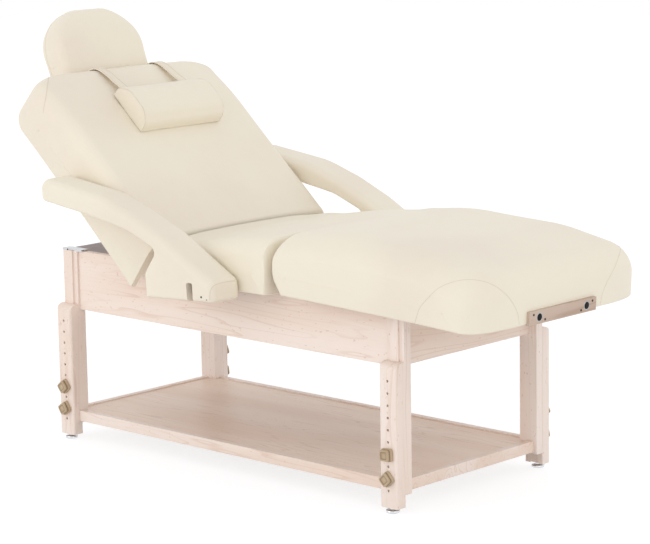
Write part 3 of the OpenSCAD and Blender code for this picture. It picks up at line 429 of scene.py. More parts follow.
def box_cutter(low, high, where):
    corners = [(x, y, z) for x in (low[0], high[0]) for y in (low[1], high[1])
               for z in (low[2], high[2])]
    faces = [(0, 1, 3, 2), (4, 6, 7, 5), (0, 4, 5, 1), (2, 3, 7, 6), (0, 2, 6, 4), (1, 5, 7, 3)]
    return mesh_object("cutter", corners, faces, "vinyl", where)


def profile_cutter(profile, low_y, high_y, where):
    """Closed prism over a side profile of (x, z) points."""
    n = len(profile)
    points = [(x, y, z) for y in (low_y, high_y) for x, z in profile]
    faces = [tuple(range(n)), tuple(range(2 * n - 1, n - 1, -1))]
    faces += between(0, n, n)
    return mesh_object("cutter", points, faces, "vinyl", where)


# ---- Outlines with rounded corners ----
def unit(v):
    return v / np.linalg.norm(v)


def right_of(u):
    return np.array((u[1], -u[0]))


def drawn_in(outline, inset, hem, low_end=1.0, high_end=1.0):
    """Outline moved in by inset, by shares of it on the underside and the two ends."""
    def share(normal):
        if normal[1] < -0.5:
            return hem
        if abs(normal[0]) < 0.8:
            return 1.0
        return high_end if normal[0] > 0 else low_end
    out = []
    for i, (x, z, r) in enumerate(outline):
        here = np.array((x, z), float)
        before = np.array(outline[i - 1][:2], float)
        after = np.array(outline[(i + 1) % len(outline)][:2], float)
        m, n = right_of(unit(here - before)), right_of(unit(after - here))
        e, f = inset * share(m), inset * share(n)
        det = m[0] * n[1] - m[1] * n[0]
        if abs(det) < 0.08:
            step = (m * e + n * f) / (1 + m @ n)
        else:
            step = np.array((e * n[1] - f * m[1], m[0] * f - n[0] * e)) / det
        radius = max(2.0, r - (e + f) / 2 * math.copysign(1, det))
        out.append((*(here - step), radius))
    return out


def corner_arc(a, b, c, r):
    u, v = unit(a - b), unit(c - b)
    half = math.acos(max(-1, min(1, u @ v))) / 2
    middle = b + unit(u + v) * r / math.sin(half)
    p, q = b + u * r / math.tan(half) - middle, b + v * r / math.tan(half) - middle
    start = math.atan2(p[1], p[0])
    turn = math.remainder(math.atan2(q[1], q[0]) - start, 2 * math.pi)
    return middle, start, turn


def rounded(outline, steps=None, reach=7.0):
    """Points round an outline. steps fixes how many lie on each arc and side."""
    flat = [np.array(p[:2], float) for p in outline]
    n = len(outline)
    arcs = [corner_arc(flat[i - 1], flat[i], flat[(i + 1) % n], outline[i][2]) for i in range(n)]

    def on_arc(i, t):
        middle, start, turn = arcs[i]
        angle = start + turn * t
        return middle + outline[i][2] * np.array((math.cos(angle), math.sin(angle)))
    if steps is None:
        steps = []
        for i in range(n):
            side = np.linalg.norm(on_arc((i + 1) % n, 0) - on_arc(i, 1))
            bend = max(6 if outline[i][2] > 5 else 3,
                       math.ceil(abs(arcs[i][2]) * outline[i][2] / reach))
            steps.append((bend, max(1, math.ceil(side / reach))))
    ring = []
    for i, (bend, side) in enumerate(steps):
        ring += [on_arc(i, k / bend) for k in range(bend + 1)]
        start, end = on_arc(i, 1), on_arc((i + 1) % n, 0)
        ring += [start + (end - start) * k / side for k in range(1, side)]
    return np.array(ring), steps


def round_off(t):
    t = np.clip(t, 0, 1)
    return 1 - math.sqrt(max(0.0, 1 - t * t))


def slanted_corner(t):
    """Plan of a corner between round and cut off slantwise."""
    t = np.clip(t, 0, 1)
    start, share = 0.16, 0.14
    slant = t - start / 2 if t > start else t * t / (2 * start)
    return share * slant / (1 - start / 2) + (1 - share) * round_off(t)


def stations_of(w, spans, reach):
    """Places across the width, close together where an edge rolls over."""
    found = {0.0, w}
    for span in spans:
        found |= {w - span * (1 - math.sin(math.radians(a))) for a in range(0, 91, 7)}
    found |= set(np.arange(0, w - max(spans), reach))
    kept = []
    for y in sorted(found):
        if not kept or y - kept[-1] > 0.25:
            kept.append(y)
    kept[-1] = w
    return [-y for y in reversed(kept) if y > 0] + kept


def upholstered(name, outline, half_w, where, roll, roll_w, crown=9, draw=5, hem=0.08,
                end=0.25, near_end=None, plan=0, plan_w=1, far=None, reach=7.0, shrug=None,
                puff=2.0, y_mid=0, flat_ends=False, plan_curve=round_off):
    """Closed padded form: a side outline carried across, with edges that roll in,
    a crown, sides drawn in between the corners and, at far, corners round in plan."""
    us = [p[0] for p in outline]
    low, high = min(us), max(us)
    far = high if far is None else far
    near = low if far == high else high
    near_end = end if near_end is None else near_end
    ends = (near_end, end) if far == high else (end, near_end)
    base, steps = rounded(outline, None, reach)
    spans = [roll_w] + ([plan_w] if plan else [])
    points = []
    stations = [(y, roll * round_off((abs(y) - half_w + roll_w) / roll_w))
                for y in stations_of(half_w, spans, reach * 1.3)]
    if flat_ends:
        stations = [(-half_w, roll + 6)] + stations + [(half_w, roll + 6)]
    for y, inset in stations:
        bite = plan * plan_curve((abs(y) - half_w + plan_w) / plan_w) / abs(far - near)
        ring, _ = rounded(drawn_in(outline, inset, hem, *ends), steps)
        along = (np.roll(ring, -1, 0) - np.roll(ring, 1, 0))
        normal_z = -along[:, 0] / np.maximum(np.linalg.norm(along, axis=1), 1e-9)
        lift = crown * (1 - (y / half_w) ** 2)
        for (u, v), nz in zip(ring, normal_z):
            t = min(1, max(0, (u - low) / (high - low)))
            side = y * (1 - draw / half_w * math.sin(math.pi * t))
            points.append([near + (u - near) * (1 - bite), side, v + lift * max(0, nz)])
    n = len(base)
    m = len(points) // n
    faces = [quad for j in range(m - 1) for quad in between(j * n, (j + 1) * n, n)]
    for start, way in ((0, -1), ((m - 1) * n, 1)):
        if flat_ends:
            faces.append(tuple(range(start, start + n)))
        else:
            close_side(points, faces, start, n, way, puff)
    if shrug:
        points = [shrug(p) for p in points]
    for p in points:
        p[1] += y_mid
    return mesh_object(name, points, faces, "vinyl", where, weld=True)


def close_side(points, faces, start, n, way, puff):
    """Fills one side with rings that shrink onto the side's own middle line."""
    rim = np.array(points[start:start + n])
    low, high = rim.min(0), rim.max(0)
    half = (high[2] - low[2]) / 2
    middle_z = (high[2] + low[2]) / 2
    last = start
    for k in (0.9, 0.7, 0.5, 0.3, 0.12, 0.0):
        first = len(points)
        for x, y, z in rim:
            cx = min(high[0] - half, max(low[0] + half, x))
            swell = way * puff * (1 - k * k)
            points.append([cx + (x - cx) * k, y + swell, middle_z + (z - middle_z) * k])
        faces += between(last, first, n)
        last = first


def ease_in(t):
    t = min(1, max(0, t))
    return t * t * (3 - 2 * t)


def unevenness(piece, size, reach, seed):
    """Hand-stretched cover: slow swells along the surface normal."""
    mesh = piece.data
    normals = [v.normal.copy() for v in mesh.vertices]
    for v, normal in zip(mesh.vertices, normals):
        at = v.co / (reach * MM) + Vector((seed, seed * 0.7, -seed))
        v.co += normal * noise.noise(at) * size * MM
    mesh.update()


# ---- Seams laid on a finished cushion ----
class Surface:
    def __init__(self, piece):
        work = bmesh.new()
        work.from_mesh(piece.data)
        self.tree = BVHTree.FromBMesh(work)
        work.free()

    def snap(self, point):
        at, normal, _, _ = self.tree.find_nearest(point)
        return at, normal


def smooth_path(points, count=10, closed=False):
    """Catmull-Rom points through the given ones."""
    pts = [Vector(p) for p in points]
    if closed:
        ring = [pts[-1]] + pts + pts[:2]
    else:
        ring = [2 * pts[0] - pts[1]] + pts + [2 * pts[-1] - pts[-2]]
    path = []
    for a, b, c, d in zip(ring, ring[1:], ring[2:], ring[3:]):
        for k in range(count):
            t = k / count
            path.append(0.5 * ((2 * b) + (c - a) * t + (2 * a - 5 * b + 4 * c - d) * t * t
                               + (3 * b - a - 3 * c + d) * t ** 3))
    if not closed:
        path.append(pts[-1])
    return path


SEAM_SECTION = ((-3.6, -0.5), (-2.6, 0.25), (-1.5, 0.75), (-0.6, 0.55), (0.0, 0.05),
                (0.6, 0.55), (1.5, 0.75), (2.6, 0.25), (3.6, -0.5))


def both_sides(line):
    return [(line, False), ([(x, -y, z) for x, y, z in line], False)]


def seam(name, surface, lines, where, width=1.0):
    """Two soft lips with a sunk line between them along each line of flat points; the sunk line
    carries painted shade.
    """
    points, faces, crease = [], [], []
    k = len(SEAM_SECTION)
    for line, closed in lines:
        path = [where @ p * MM for p in smooth_path(line, 14, closed)]
        spots = [surface.snap(p) for p in path]
        first = len(points)
        count = len(spots)
        for i, (at, normal) in enumerate(spots):
            before = spots[i - 1][0] if closed or i else at
            after = spots[(i + 1) % count][0] if closed or i < count - 1 else at
            run = (after - before).normalized()
            side = run.cross(normal).normalized()
            fade = 1 if closed else min(1, i / 3 + 0.05, (count - 1 - i) / 3 + 0.05)
            for across, up in SEAM_SECTION:
                points.append(at + side * across * width * MM
                              + normal * (up * fade - 0.12) * MM)
                # crease marks the sunk middle line for painted shade
                crease.append(max(0.0, 1 - abs(across) / 1.3))
        last = count if closed else count - 1
        for i in range(last):
            faces += between(first + i * k, first + (i + 1) % count * k, k)
        if not closed:
            faces += [tuple(range(first, first + k)),
                      tuple(range(len(points) - k, len(points)))]
    mesh = bpy.data.meshes.new(name)
    mesh.from_pydata(points, [], faces)
    mesh.materials.append(MATERIALS["vinyl"])
    set_crease(mesh, crease)
    piece = placed(name, mesh)
    outward(mesh)
    return piece


def dress(piece, body, *nodes, slot=None):
    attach(piece, body)
    if nodes:
        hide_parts(*nodes)
    return piece


# ---- The tilting backrest ----
def backrest_upholstery():
    outline = [(HEEL_END + 21, HEM_Z - 2, 4), (HEEL_END, BACK_TOP, 22),
               (HEAD_END + 180, BACK_TOP, 900), (HEAD_END, BACK_TOP - 22, 52),
               (HEAD_END, HEM_Z, 26)]
    piece = upholstered("backrest_upholstery", outline, HALF_W, ON_BACK, 60, 40,
                        near_end=0.04, plan=78, plan_w=127, far=HEAD_END)
    unevenness(piece, 1.2, 190, 3.1)
    cut_away(piece, [
        box_cutter((-895.3, -INNER_W, HEM_Z - 5), (-311, INNER_W, BOARD_TOP), ON_BACK),
        box_cutter((-975.3, -264.3, HEM_Z - 5), (-894, 264.3, BOARD_TOP), ON_BACK),
        box_cutter((HEAD_END - 9, -BLOCK_HALF, HEM_Z - 5), (-974, BLOCK_HALF, BLOCK_TOP), ON_BACK),
        profile_cutter([(-322, 652), (-250, 590), (-192, 480), (-380, 480)], -365, 365,
                       ON_BACK)])
    outward(piece.data, 42)
    corner = [(-1004, -296, 712), (-985, -318, 726), (-960, -342, 732), (-930, -364, 728),
              (-908, -377, 712), (-888, -384, 686)]
    seams = seam("backrest_corner_seams", Surface(piece), both_sides(corner), ON_BACK)
    dress(piece, "backrest", "backrest_cushion", slot="vinyl")
    dress(seams, "backrest", slot="vinyl")


backrest_upholstery()


# ---- The seat ----
def seat_dip(point):
    """The cover sinks beside the backrest's heel, most at the two sides."""
    x, y, z = point
    near_heel = 1 - ease_in((x + 281) / 150)
    at_side = ease_in((abs(y) - 190) / 150)
    point[2] = z - near_heel * (2 + 15 * at_side) * ease_in((z - 575) / 80)
    return point


SWING, LIFT = 151.5, 7.4


def swing_profile(lift):
    """Room for the backrest's heel, as the seat meets it when lifted by so many degrees."""
    turned = math.radians(lift)
    dx, dz = BACK_X - SEAT_X, BACK_Z - SEAT_Z
    middle = (SEAT_X + dx * math.cos(turned) + dz * math.sin(turned),
              SEAT_Z - dx * math.sin(turned) + dz * math.cos(turned))
    return [(middle[0] + SWING * math.cos(a), middle[1] + SWING * math.sin(a))
            for a in np.radians(range(-95, 96, 5))]


def seat_upholstery():
    outline = [(-281, HEM_Z, 4), (-60, HEM_Z, 200), (252, SEAT_HEM, 5), (260, 626, 60),
               (260, TOP_Z - 40, 12), (85, TOP_Z - 48, 400), (-105, TOP_Z - 69, 300),
               (-281, TOP_Z - 66, 20)]
    piece = upholstered("seat_upholstery", outline, HALF_W, ON_SEAT, 52, 56, end=0.05,
                        plan=12, plan_w=150, far=260, shrug=seat_dip)
    unevenness(piece, 1.0, 160, 7.7)
    cut_away(piece, [
        profile_cutter(swing_profile(0), -400, 400, ON_SEAT),
        profile_cutter(swing_profile(LIFT), -400, 400, ON_SEAT),
        box_cutter((BACK_X, -INNER_W, SEAT_HEM - 5), (240, INNER_W, 636.2), ON_SEAT),
        box_cutter((-187, -INNER_W, 630), (240, INNER_W, BOARD_TOP), ON_SEAT),
        box_cutter((239, -320, SEAT_HEM - 5), (KNEE_X + 5, 320, BOARD_TOP), ON_SEAT)])
    outward(piece.data, 42)
    return dress(piece, "seat", "seat_cushion", slot="vinyl")


seat_upholstery()


# ---- The leg section ----
def leg_section_upholstery():
    outline = [(KNEE_X + 53, KNEE_HEM, 8), (FOOT_END, FOOT_HEM, 6), (FOOT_END, TOP_Z - 32, 78),
               (FOOT_END - 230, TOP_Z, 620), (KNEE_X + 200, TOP_Z, 900),
               (KNEE_X + 1, TOP_Z - 30, 46), (KNEE_X + 1, 630, 80)]
    piece = upholstered("leg_section_upholstery", outline, HALF_W, ON_LEG, 84, 110,
                        plan=34, plan_w=200, far=FOOT_END)
    unevenness(piece, 1.3, 210, 5.3)
    cut_away(piece, [
        box_cutter((KNEE_X - 5, -INNER_W, KNEE_HEM - 5), (880.3, INNER_W, BOARD_TOP), ON_LEG),
        box_cutter((880, -239.3, KNEE_HEM - 5), (990.3, 239.3, BOARD_TOP), ON_LEG),
        box_cutter((990, -BLOCK_HALF, KNEE_HEM - 5), (FOOT_END + 9, BLOCK_HALF, BLOCK_TOP), ON_LEG)])
    outward(piece.data, 42)
    corner = [(818, -386, 562), (826, -385, 590), (842, -384, 626), (870, -380, 658),
              (900, -372, 688), (932, -356, 705), (962, -338, 713), (986, -316, 712),
              (1006, -284, 700), (1018, -250, 676), (1024, -216, 644), (1025, -192, 610),
              (1025, -182, 573)]
    seams = seam("leg_section_corner_seams", Surface(piece), both_sides(corner), ON_LEG, 0.8)
    dress(piece, "leg_section", "leg_cushion", slot="vinyl")
    dress(seams, "leg_section", slot="vinyl")


leg_section_upholstery()


# ---- Arm rests ----
ARM_SHARES = ((0, -0.012, 0.014), (0, 0.162, 0.031), (0.282, 0.533, 0.42), (0.45, 0.707, 0.42),
              (0.631, 0.856, 0.56), (1.01, 1, 0.04), (1.01, 0.79, 0.03), (0.743, 0.69, 0.42),
              (0.485, 0.57, 0.28), (0.32, 0.415, 0.02), (0.397, 0.21, 0.04),
              (0.394, -0.018, 0.011))
ARM_FOOT, ARM_L, ARM_LOW, ARM_H = 152, 716, 548, 334
ARM_IN, ARM_W, ARM_SLOT = 387, 124, 66


def arm_pad(side, way):
    outline = [(ARM_FOOT - u * ARM_L, ARM_LOW + v * ARM_H, r * ARM_L) for u, v, r in ARM_SHARES]
    mid = way * (ARM_IN + ARM_W / 2)
    piece = upholstered(f"arm_pad_{side}", outline, ARM_W / 2, ON_SEAT, 22, 26, crown=3,
                        draw=0, hem=0.5, end=1, far=ARM_FOOT, reach=6.0, y_mid=mid,
                        flat_ends=True)
    unevenness(piece, 0.6, 120, 2.2 + way)
    half = 12.5
    notch = [(ARM_SLOT - half, 540), (ARM_SLOT + half, 540), (ARM_SLOT + half, 594)]
    notch += [(ARM_SLOT + 5 + 7.5 * math.cos(a), 593 + 7.5 * math.sin(a))
              for a in np.radians(range(10, 91, 20))]
    notch += [(ARM_SLOT - 5 + 7.5 * math.cos(a), 593 + 7.5 * math.sin(a))
              for a in np.radians(range(90, 171, 20))] + [(ARM_SLOT - half, 594)]
    cut_away(piece, [profile_cutter(notch, mid - 80, mid + 80, ON_SEAT)])
    outward(piece.data, 42)
    surface = Surface(piece)
    out_y, in_y = mid + way * ARM_W / 2, mid - way * ARM_W / 2
    front = [(147, out_y - way, 551), (148, out_y - way * 2, 572), (151, out_y - way * 8, 588),
             (152, out_y - way * 22, 597), (152, mid, 600), (152, in_y + way * 22, 597),
             (151, in_y + way * 8, 588), (148, in_y + way * 2, 572), (147, in_y + way, 551)]
    seams = seam(f"arm_pad_{side}_front_seam", surface, [(front, False)], ON_SEAT, 0.8)
    body = f"arm_rest_{side}"
    dress(piece, body, f"arm_{side}", slot="vinyl")
    dress(seams, body, slot="vinyl")


arm_pad("near", -1)
arm_pad("far", 1)


# ---- Headrest, bolster and its bands ----
def headrest_pad():
    top = -200
    outline = [(top, 22, 14), (40, 22, 30), (40, 108, 34), (top + 60, 113, 149),
               (top, 96, 41)]
    piece = upholstered("headrest_pad_cover", outline, 187, ON_HEAD, 30, 28, crown=6, draw=3,
                        hem=0.3, end=1, plan=142, plan_w=134, far=top, reach=5.0, puff=1.0,
                        y_mid=8, plan_curve=slanted_corner)
    unevenness(piece, 0.7, 110, 9.4)
    outward(piece.data, 42)
    surface = Surface(piece)
    welt = [(x, 8 + way * y, 40) for x, y, way in (
        (-196, 60, -1), (-170, 118, -1), (-120, 170, -1), (-60, 187, -1), (20, 186, -1),
        (39, 130, -1), (40, 0, 1), (39, 130, 1), (20, 186, 1), (-60, 187, 1), (-120, 170, 1),
        (-170, 118, 1), (-196, 60, 1))]
    seams = seam("headrest_welt", surface, [(welt, True)], ON_HEAD, 0.8)
    dress(piece, "headrest", "headrest_pad", slot="vinyl")
    dress(seams, "headrest", slot="vinyl")


headrest_pad()

BOLSTER_X, BOLSTER_LOW, BOLSTER_W, BOLSTER_H = -785, 761, 165, 66
BOLSTER_HALF, BOLSTER_ASIDE, BAND_SPACING = 170, 22, 254


def neck_bolster():
    shares = ((-0.5, 0, 0.02), (0.5, 0, 0.02), (0.49, 0.5, 0.18), (0.3, 1.02, 0.26),
              (-0.24, 1, 0.34), (-0.49, 0.5, 0.16))
    outline = [(BOLSTER_X + u * BOLSTER_W, BOLSTER_LOW + v * BOLSTER_H, r * BOLSTER_W)
               for u, v, r in shares]
    piece = upholstered("neck_bolster", outline, BOLSTER_HALF, ON_BACK, 3, 4, crown=0, draw=-2,
                        hem=1, end=1, reach=5.0, puff=1.5, y_mid=BOLSTER_ASIDE)
    unevenness(piece, 0.9, 90, 1.9)
    outward(piece.data, 50)
    surface = Surface(piece)
    rings = []
    for way in (-1, 1):
        ring, _ = rounded(drawn_in(outline, 1.5, 1), None, 12.0)
        rings.append(([(u, BOLSTER_ASIDE + way * BOLSTER_HALF, v) for u, v in ring], True))
    seams = seam("neck_bolster_end_seams", surface, rings, ON_BACK, 0.7)
    dress(piece, "backrest", "bolster", slot="vinyl")
    dress(seams, "backrest", slot="vinyl")


neck_bolster()


def band_line():
    """Side line of a bolster band: off the bolster, over the head end, down its face."""
    bridge = [(BOLSTER_X - 70, 783), (-880, 776), (-912, 767), (-948, 759), (-984, 747)]
    over = [(-1005, 731), (-1017, 710), (-1022.5, 684), (-1023.5, 644)]
    return smooth_path([(x, 0, z) for x, z in bridge + over], 8)


BAND_SECTION = ((-17, 0), (-17, 2.2), (-15.8, 3.2), (-13, 2.9), (-12, 2.2), (-11, 2.8), (0, 2.6),
                (11, 2.8), (12, 2.2), (13, 2.9), (15.8, 3.2), (17, 2.2), (17, 0))


def bolster_bands():
    """Two flat sewn bands with a sunk stitched line along each edge, darkened with painted shade."""
    path = band_line()
    points, faces, crease = [], [], []
    k = len(BAND_SECTION)
    for way in (-1, 1):
        first = len(points)
        middle = BOLSTER_ASIDE + way * BAND_SPACING / 2
        for i, at in enumerate(path):
            run = (path[min(i + 1, len(path) - 1)] - path[max(0, i - 1)]).normalized()
            over = Vector((0, -1, 0)).cross(run).normalized()
            for across, high in BAND_SECTION:
                points.append(at + Vector((0, middle + across, 0)) - over * high)
                # crease marks the sunk stitched lines for painted shade
                crease.append(1.0 if abs(across) == 12 else 0.0)
        for i in range(len(path) - 1):
            faces += between(first + i * k, first + (i + 1) * k, k)
        faces += [tuple(first + j for j in range(k)),
                  tuple(first + (len(path) - 1) * k + j for j in range(k))]
    piece = mesh_object("bolster_bands", points, faces, "band", ON_BACK)
    set_crease(piece.data, crease)
    outward(piece.data, 40)
    return dress(piece, "backrest", "bolster_straps", slot="webbing")


bolster_bands()


# ---- Wooden parts with eased edges ----
def eased(node, width, material, cross=None):
    """Copy of an imported wooden node with its sharp edges eased by hand plane."""
    source = frame["nodes"][node]
    mesh = source.data.copy()
    mesh.name = f"{node}_eased"
    piece = placed(mesh.name, mesh)
    work = bmesh.new()
    work.from_mesh(mesh)
    bmesh.ops.remove_doubles(work, verts=work.verts, dist=0.00002)
    bmesh.ops.dissolve_limit(work, angle_limit=math.radians(1), verts=work.verts,
                             edges=work.edges)
    edges = [e for e in work.edges if len(e.link_faces) == 2
             and e.calc_face_angle(0) > math.radians(35)]
    bmesh.ops.bevel(work, geom=edges, offset=width * MM, segments=2, profile=0.6,
                    affect="EDGES", clamp_overlap=True)
    for face in work.faces:
        face.smooth = True
        if cross:
            face.material_index = 1 if cross(face.calc_center_median()) else 0
    for edge in work.edges:
        if len(edge.link_faces) == 2 and edge.calc_face_angle(0) > math.radians(50):
            edge.smooth = False
    work.to_mesh(mesh)
    work.free()
    mesh.materials.clear()
    mesh.materials.append(MATERIALS[material])
    if cross:
        mesh.materials.append(MATERIALS["maple_cross"])
    finish = piece.modifiers.new("even shading", "WEIGHTED_NORMAL")
    finish.keep_sharp = True
    settle(piece)
    body = source["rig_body"]
    slots = {entry["node"]: entry.get("material_slot") for entry in frame["record"]["subparts"]}
    return dress(piece, body, node, slot=slots[node])


CORNERS = [f"{side}_{end}" for side in ("near", "far") for end in ("head", "foot")]
for corner in CORNERS:
    eased(f"post_{corner}", 1.2, "maple_up")
    eased(f"leg_{corner}", 1.0, "maple_up")
for node, material in (("apron_near", "maple_long"), ("apron_far", "maple_long"),
                       ("apron_head", "maple_cross"), ("apron_foot", "maple_cross"),
                       ("deck", "board"), ("shelf_panel", "shelf"),
                       ("head_outlet_block", "plate"),
                       ("foot_outlet_block", "plate")):
    eased(node, 1.0, material)
end_rail_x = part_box("shelf_rails")[1].x - 0.03
middle_x = sum(v.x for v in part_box("shelf_rails")) / 2
eased("shelf_rails", 1.0, "maple_long",
      cross=lambda centre: abs(centre.x - middle_x) > end_rail_x - middle_x)


# ---- Fittings on the wood ----
POST_X, POST_Y, POST_W, POST_OUT = 681, 295, 64, 14
BASE_TOP, CAP_TOP, CAP_LIP, CAP_OVER, CAP_START = 602, 607, 6, 0.8, -54.8
OUTLET_Z, OUTLET_W, OUTLET_H, OUTLET_THICK, BORE_ASIDE = 587, 300, 38, 10, 106


def corner_cap_mesh(sx, sy):
    """Thin folded cap over one post, slightly domed, as (points, faces) in flat mm."""
    low_x, high_x = CAP_START, POST_W / 2 + CAP_OVER
    low_y, high_y = -POST_OUT, POST_OUT + CAP_OVER
    points, faces = [], []
    across, along = 10, 12
    for i in range(along + 1):
        for j in range(across + 1):
            u, v = i / along, j / across
            dome = 1.6 * math.sin(math.pi * u) ** 0.8 * (0.35 + 0.65 * math.sin(math.pi * v))
            points.append((low_x + u * (high_x - low_x), low_y + v * (high_y - low_y),
                           CAP_TOP + dome))
    w = across + 1
    faces += [(i * w + j, (i + 1) * w + j, (i + 1) * w + j + 1, i * w + j + 1)
              for i in range(along) for j in range(across)]
    rim = ([i * w for i in range(along + 1)] + [along * w + j for j in range(1, w)]
           + [i * w + across for i in range(along - 1, -1, -1)]
           + list(range(across - 1, 0, -1)))
    last = rim
    for drop, inset in ((1.2, -0.3), (CAP_LIP, 0.0), (CAP_LIP, 1.2)):
        first = len(points)
        for k in rim:
            x, y, z = points[k]
            side = 1 if x > high_x - 1 or y > high_y - 1 else 0.15
            points.append((x - inset * (1 if x > 0 else -1), y - inset * (1 if y > 0 else -1),
                           CAP_TOP - drop * side))
        m = len(rim)
        faces += [(last[a], last[(a + 1) % m], first + (a + 1) % m, first + a)
                  for a in range(m)]
        last = range(first, first + m)
    faces.append(tuple(range(len(points) - len(rim), len(points))))
    return [(sx * (POST_X + x), sy * (POST_Y + y), z) for x, y, z in points], faces


def corner_caps():
    points, faces = [], []
    for sx in (-1, 1):
        for sy in (-1, 1):
            spots, loops = corner_cap_mesh(sx, sy)
            faces += [tuple(k + len(points) for k in loop) for loop in loops]
            points += spots
    piece = mesh_object("corner_cap_plates", points, faces, "cap", MIDDLE)
    outward(piece.data, 30)
    dress(piece, "base", "corner_caps", slot="cap_steel")


corner_caps()


def outlet_linings():
    """Bright rim and dark lining in each accessory bore of the outlet plate."""
    rim = ((11.4, 0.3), (12.9, 0.5), (12.9, -0.6), (10.9, -0.6), (10.7, 0.4))
    cup = ((0.5, -45), (10.6, -45), (10.6, 0.2), (10.9, 0.2), (10.9, -45.4), (0.5, -45.4))
    points, faces = [], []
    n = 32
    for y in (-BORE_ASIDE, BORE_ASIDE):
        for rings, looped in ((rim, True), (cup, False)):
            first, m = len(points), len(rings)
            for r, deep in rings:
                points += [(FOOT_END + OUTLET_THICK + deep,
                            y + r * math.cos(2 * math.pi * k / n),
                            OUTLET_Z + r * math.sin(2 * math.pi * k / n)) for k in range(n)]
            for a in range(m if looped else m - 1):
                faces += between(first + a * n, first + (a + 1) % m * n, n)
            if not looped:
                faces += [tuple(range(first, first + n)),
                          tuple(range(len(points) - n, len(points)))]
    piece = mesh_object("outlet_bore_linings", points, faces, "bore", ON_LEG)
    piece.data.materials.append(MATERIALS["bright"])
    each = (len(rim) + len(cup)) * n
    for face in piece.data.polygons:
        face.material_index = 1 if face.vertices[0] % each < len(rim) * n else 0
    dress(piece, "leg_section", slot="bright_steel")


outlet_linings()


# ---- Clamp knobs and levelling feet ----
def lathe(name, profile, centre, material, turns=48, ridge=None):
    """Round piece about a vertical line through centre, from (radius, height) pairs."""
    points, faces = [], []
    for r, h in profile:
        for k in range(turns):
            a = 2 * math.pi * k / turns
            reach = r * (1 + (ridge(h, k) if ridge else 0))
            points.append((centre[0] + reach * math.cos(a), centre[1] + reach * math.sin(a),
                           centre[2] + h))
    n = turns
    for j in range(len(profile) - 1):
        faces += between(j * n, (j + 1) * n, n)
    faces += [tuple(range(n)), tuple(range(len(points) - n, len(points)))]
    return mesh_object(name, points, faces, material)


def levelling_foot(corner):
    low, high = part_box(f"glide_{corner}")
    centre = ((low.x + high.x) / 2 / MM, (low.y + high.y) / 2 / MM, 0)
    profile = [(0.5, 0), (17.5, 0), (19.4, 1.2), (20, 2.6), (20, 6.6), (19.2, 8.2), (17, 9),
               (11.5, 9.2), (10.5, 10.4), (8.2, 10.8), (8, 14.4), (5.2, 14.8)]
    thread = [(5 - 0.7 * (k % 2), 15.2 + 0.75 * k) for k in range(44)]
    piece = lathe(f"levelling_foot_{corner}", profile + thread + [(4, 48.2), (0.5, 48.4)],
                  centre, "chrome", turns=40)
    outward(piece.data, 38)
    dress(piece, f"foot_{corner}", f"glide_{corner}", slot="chrome")


KNOB_TURN = {"near_head_upper": 40, "near_head_lower": 33, "near_foot_upper": 4,
             "near_foot_lower": 43, "far_head_upper": 20, "far_head_lower": 8,
             "far_foot_upper": 30, "far_foot_lower": 12}
# crease share per knob layer: painted shade in the knob's waist and its dished face
KNOB_SHADE = {15.6: 1.0, 15.2: 1.0, 10.4: 1.0, 8.0: 0.35, 16.0: 0.35}


def lobed_square(half, steps=12):
    """Square with soft corners, as (x, y) points."""
    ring = []
    for k in range(4 * steps):
        a = 2 * math.pi * k / (4 * steps)
        c, s = math.cos(a), math.sin(a)
        flat = half / max(abs(c), abs(s))
        soft = (abs(c) ** 5 + abs(s) ** 5) ** (-1 / 5) * half
        reach = soft * 0.75 + flat * 0.25
        ring.append((reach * c, reach * s))
    return ring


def clamp_knob(place):
    """Four-lobed knob: a skirt, a waist, a dished face and its bolt behind."""
    node = f"knob_{place}"
    way = -1 if place.startswith("near") else 1
    low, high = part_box(node)
    x0, z0 = (low.x + high.x) / 2 / MM, (low.z + high.z) / 2 / MM
    face_y = (low.y if way < 0 else high.y) / MM
    back_y = (high.y if way < 0 else low.y) / MM
    turn = math.radians(KNOB_TURN[place])
    layers = [(17.0, 0.0), (18.6, 0.8), (19.0, 2.4), (18.8, 6.5), (17.8, 9.0), (15.6, 10.6),
              (15.2, 12.0), (16.0, 13.6), (16.2, 16.0), (15.4, 18.6), (13.6, 19.8),
              (11.5, 20.0), (10.4, 19.3), (8.0, 18.9), (4.0, 18.8), (0.6, 18.8)]
    depth = 20
    points, faces, crease = [], [], []
    n = 48
    for half, h in layers:
        for px, pz in lobed_square(half):
            x = px * math.cos(turn) - pz * math.sin(turn)
            z = px * math.sin(turn) + pz * math.cos(turn)
            points.append((x0 + x, face_y - way * (depth - h), z0 + z))
            crease.append(KNOB_SHADE.get(half, 0.0))
    for j in range(len(layers) - 1):
        faces += between(j * n, (j + 1) * n, n)
    faces += [tuple(range(n)), tuple(range(len(points) - n, len(points)))]
    start_y = face_y - way * depth
    for a_y, b_y, r in ((start_y, back_y + way * 4.9, 4.0), (back_y + way * 5, back_y, 7.9)):
        first = len(points)
        for y in (a_y, b_y):
            points += [(x0 + r * math.cos(k * math.pi / 12), y,
                        z0 + r * math.sin(k * math.pi / 12)) for k in range(24)]
        crease += [0.0] * 48
        faces += between(first, first + 24, 24)
        faces += [tuple(range(first, first + 24)), tuple(range(first + 24, first + 48))]
    piece = mesh_object(f"clamp_knob_{place}", points, faces, "knob")
    set_crease(piece.data, crease)
    piece.data.materials.append(MATERIALS["bright"])
    for face in piece.data.polygons:
        face.material_index = 1 if min(face.vertices) >= len(layers) * n else 0
    outward(piece.data, 40)
    dress(piece, node, node, slot="knob_plastic")


for corner in CORNERS:
    levelling_foot(corner)
    for level in ("upper", "lower"):
        clamp_knob(f"{corner}_{level}")


